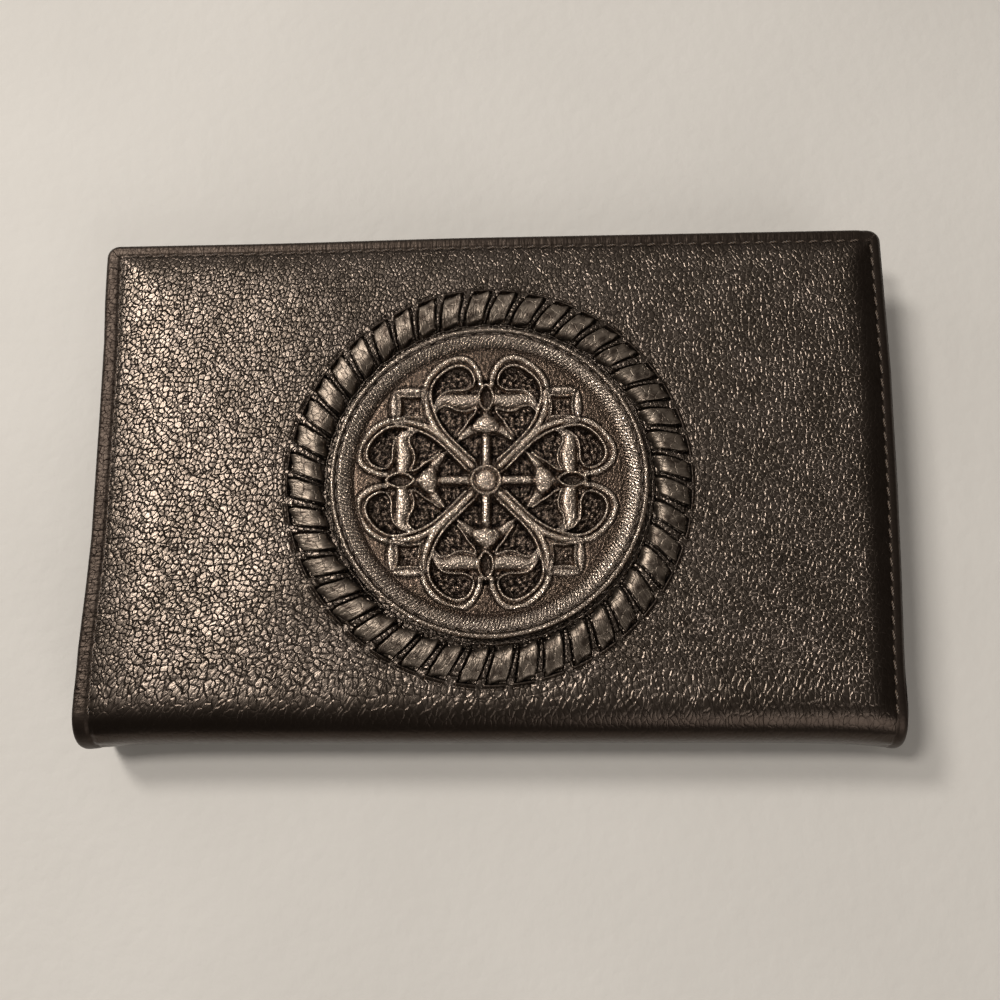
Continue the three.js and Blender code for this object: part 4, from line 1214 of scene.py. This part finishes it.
def pouchSeams():
    # round the slip pocket's foot and sides, and on round the pouch's front
    c = pocketSet["stitchIn"]
    low, high = nodeBox("slip_pocket")
    wallHigh = nodeBox("coin_pouch_front")[1]
    left, right, foot, head = low[0] + c, high[0] - c, low[1] + c, wallHigh[1] - c
    rows = [seamRow((x, foot), (x, high[1] - 0.5), high[2], 1) for x in (left, right)]
    rows.append(seamRow((left, foot), (right, foot), high[2], 1))
    rows += [seamRow((x, high[1] + 0.8), (x, head), wallHigh[2], 1) for x in (left, right)]
    rows.append(seamRow((left, head), (right, head), wallHigh[2], 1))
    return rows


for name, rows, body in (("card_pocket_seams", pocketSeams(), "front_cover"),
                         ("coin_pouch_seams", pouchSeams(), "back_cover")):
    piece = makeSeam(name, rows)
    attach(piece, body)
print("inside seams made")


# Padding of the front cover and of the medallion, hidden under the hide
padSet = dict(corner=4.0, edge=5.0, coarse=4.0,
              discEdge=3.0, discDome=0.35, discTop=-0.3, discFoot=-0.65, rings=24, cuts=96)
pad = makePiece("front_cover_pad", [panel(*nodeBox("front_padding"), padSet["corner"], edge=padSet["edge"],
                                          coarse=padSet["coarse"])], stock["felt"])
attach(pad, "front_cover")
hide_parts("front_padding")


def makeDiscPad():
    # Flat dome: the top falls in a half round to the flat underside
    c = padSet
    low, high = nodeBox("medallion_padding")
    r = high[0] * np.sin(np.linspace(0, np.pi / 2, c["rings"]))
    z = low[2] + c["discTop"] + c["discDome"] * roundOff(high[0] - r, c["discEdge"])
    r, z = np.append(r, r[::-1]), np.append(z, np.full(c["rings"], low[2] + c["discFoot"]))
    points = polar(r, around(c["cuts"])[:, None], z)
    return makePiece("medallion_pad", [(points, gridFaces(*points.shape[:2], wrapRows=True))], stock["felt"])


discPad = makeDiscPad()
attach(discPad, "front_cover")
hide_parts("medallion_padding")
print("padding made")


# Zip: woven tapes that turn up at the chain, and separate teeth
zipSet = dict(tooth=1.15, pitch=1.5, offset=0.25, blunt=(0.4, 0.5), skin=0.17, middle=0.2, flatEnd=1.6,
              bendFrom=0.75, bendLong=0.45, turnUp=0.35)


def makeTape(name, way):
    # Profile in y and z carried along x: flat tape that turns up at the chain, its skin on both sides
    c = zipSet
    low, high = nodeBox(name)
    base = low[2] if way > 0 else high[2]
    bend = np.linspace(0, np.pi / 2, 7)
    y = np.concatenate([[low[1], low[1] + 4, high[1] - c["flatEnd"]],
                        high[1] - c["bendFrom"] + c["bendLong"] * np.sin(bend)])
    z = c["middle"] + np.concatenate([[0, 0, 0], c["turnUp"] * (1 - np.cos(bend))])
    line = np.stack([y, z], -1)
    square = unit(np.gradient(line, axis=0))[:, ::-1] * [-1, 1]
    ring = np.concatenate([line + c["skin"] * square, (line - c["skin"] * square)[::-1]])
    x = graded(low[0], high[0], 0.5, 3.0, 4.0)[:, None]
    points = np.stack(np.broadcast_arrays(x, ring[None, :, 0], base + way * ring[None, :, 1]), -1)
    return makePiece(name + "_woven", [closedTube(points)], tapeCloth, sharp=50)


def makeTeeth(name, way):
    # Each tooth is a small rounded block: an oval whose sine and cosine are raised to a low power
    low, high = nodeBox(name)
    pitch = zipSet["pitch"]
    x = np.arange(low[0] + pitch / 2, high[0], pitch) + way * zipSet["offset"] * pitch
    up = np.linspace(-np.pi / 2, np.pi / 2, 6)[:, None]
    turn = around(8)[None, :] + np.pi / 8

    def blunt(value, power):
        return np.sign(value) * np.abs(value) ** power

    middle, size = (low + high) / 2, (high - low) / 2
    size[0] = zipSet["tooth"] / 2
    ends, sides = zipSet["blunt"]
    block = np.stack([blunt(np.cos(up), ends) * blunt(np.cos(turn), sides),
                      blunt(np.cos(up), ends) * blunt(np.sin(turn), sides),
                      blunt(np.sin(up), sides) + 0 * turn], -1) * size
    centre = np.stack([x, 0 * x + middle[1], 0 * x + middle[2]], -1)
    return makePiece(name + "_brass", [copies(centre[:, None, None, :] + block[None])], stock["brass"])


for row, way in (("lower", 1), ("upper", -1)):
    tape = makeTape("zip_tape_" + row, way)
    teeth = makeTeeth("zip_teeth_" + row, way)
    for piece, node, slot in ((tape, "zip_tape_" + row, "zip_tape"),
                              (teeth, "zip_teeth_" + row, "zip_brass")):
        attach(piece, "back_cover")
        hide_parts(node)
print("zip made")


# Transforms of the covers' pieces baked into their meshes, and finishes of the CAD nodes that stay
for piece in (frontHide, frontLining, frontStitches):
    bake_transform(piece)
for piece in (backHide, backLining, backStitches):
    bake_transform(piece)

kept = dict(board=("front_board", "back_board"),
            steel=("front_magnet_left", "front_magnet_right", "back_magnet_left", "back_magnet_right"),
            brass=("zip_stop_left", "zip_stop_right", "zip_slider", "zip_pull"))
for finish, names in kept.items():
    for name in names:
        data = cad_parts[name].data
        data.materials.clear()
        data.materials.append(stock[finish])


# Floor and light: pale felted paper with soft bumps, two lamps to the left behind the wallet, a soft fill
# from the right, and a room lighter on the lamps' side
floorSet = dict(low="#cdc8c1", high="#d7d2cb", size=3.0, level=-0.1, cloud=120.0, bump=4.0, depth=0.22,
                rough=0.75)
lampSet = dict(near=dict(place=(-0.53, 0.2, 1.1), size=0.22, power=5.7, colour=(1.0, 0.97, 0.93)),
               far=dict(place=(-0.76, 0.64, 1.1), size=0.3, power=9.4, colour=(1.0, 0.97, 0.93)),
               fill=dict(place=(0.5, -0.85, 0.75), size=0.7, power=3.0, colour=(1.0, 0.98, 0.96)))
roomSet = dict(low=(0.1, 0.091, 0.081), high=(0.56, 0.543, 0.525), toward=(-0.45, 0.7, 0.55), power=3.4)


def feltedPaper(s):
    material, add = newMaterial("felted_paper", s["high"], {"Roughness": s["rough"]})
    place = add("TexCoord", out="Object")
    cloud = add("TexNoise", {"Vector": place, "Scale": 1 / (s["cloud"] * mm), "Detail": 5.0})
    colour = add("ValToRGB", {"Fac": cloud}, stops=[(0.3, s["low"]), (0.7, s["high"])])
    felt = add("TexNoise", {"Vector": place, "Scale": 1 / (s["bump"] * mm), "Detail": 3.0})
    return linkSurface(material, colour, felt, s["depth"])


def makeFloor(setup):
    # one square under the wallet
    half = setup["size"] / 2 / mm
    corners = np.array([[-half, -half], [half, -half], [half, half], [-half, half]])
    points = np.append(corners, np.full((4, 1), setup["level"]), 1)
    floor = makePiece("floor", [(points, np.array([[0, 1, 2, 3]]))], feltedPaper(setup))


def makeLamps(setup):
    # round area lamps that face the wallet's middle
    for name, lamp in setup.items():
        data = bpy.data.lights.new(name, "AREA")
        data.shape, data.size, data.energy, data.color = "DISK", lamp["size"], lamp["power"], lamp["colour"]
        back = unit(np.array(lamp["place"], float))
        right = unit(np.cross([0, 1.0, 0], back))
        addObject(name, data, np.stack([right, np.cross(back, right), back], 1), lamp["place"])


def makeRoom(setup):
    # Mix of two colours by the cosine between a direction and the lamps' side, raised to a power
    world = bpy.data.worlds.new("room")
    bpy.context.scene.world = world
    world.use_nodes = True
    tree = world.node_tree
    way = addNode(tree, "TexCoord", out="Generated")
    facing = addNode(tree, "VectorMath", {0: way, 1: setup["toward"]}, "Value", operation="DOT_PRODUCT")
    facing = addNode(tree, "Math", {0: facing, 1: 0.0}, operation="MAXIMUM")
    facing = addNode(tree, "Math", {0: facing, 1: setup["power"]}, operation="POWER")
    mixed = addNode(tree, "Mix", {0: facing, 6: (*setup["low"], 1), 7: (*setup["high"], 1)}, 2,
                    data_type="RGBA")
    tree.links.new(mixed, tree.nodes["Background"].inputs["Color"])


makeFloor(floorSet)
makeLamps(lampSet)
makeRoom(roomSet)
bpy.context.scene.view_settings.view_transform = "Standard"
print("floor and light set")
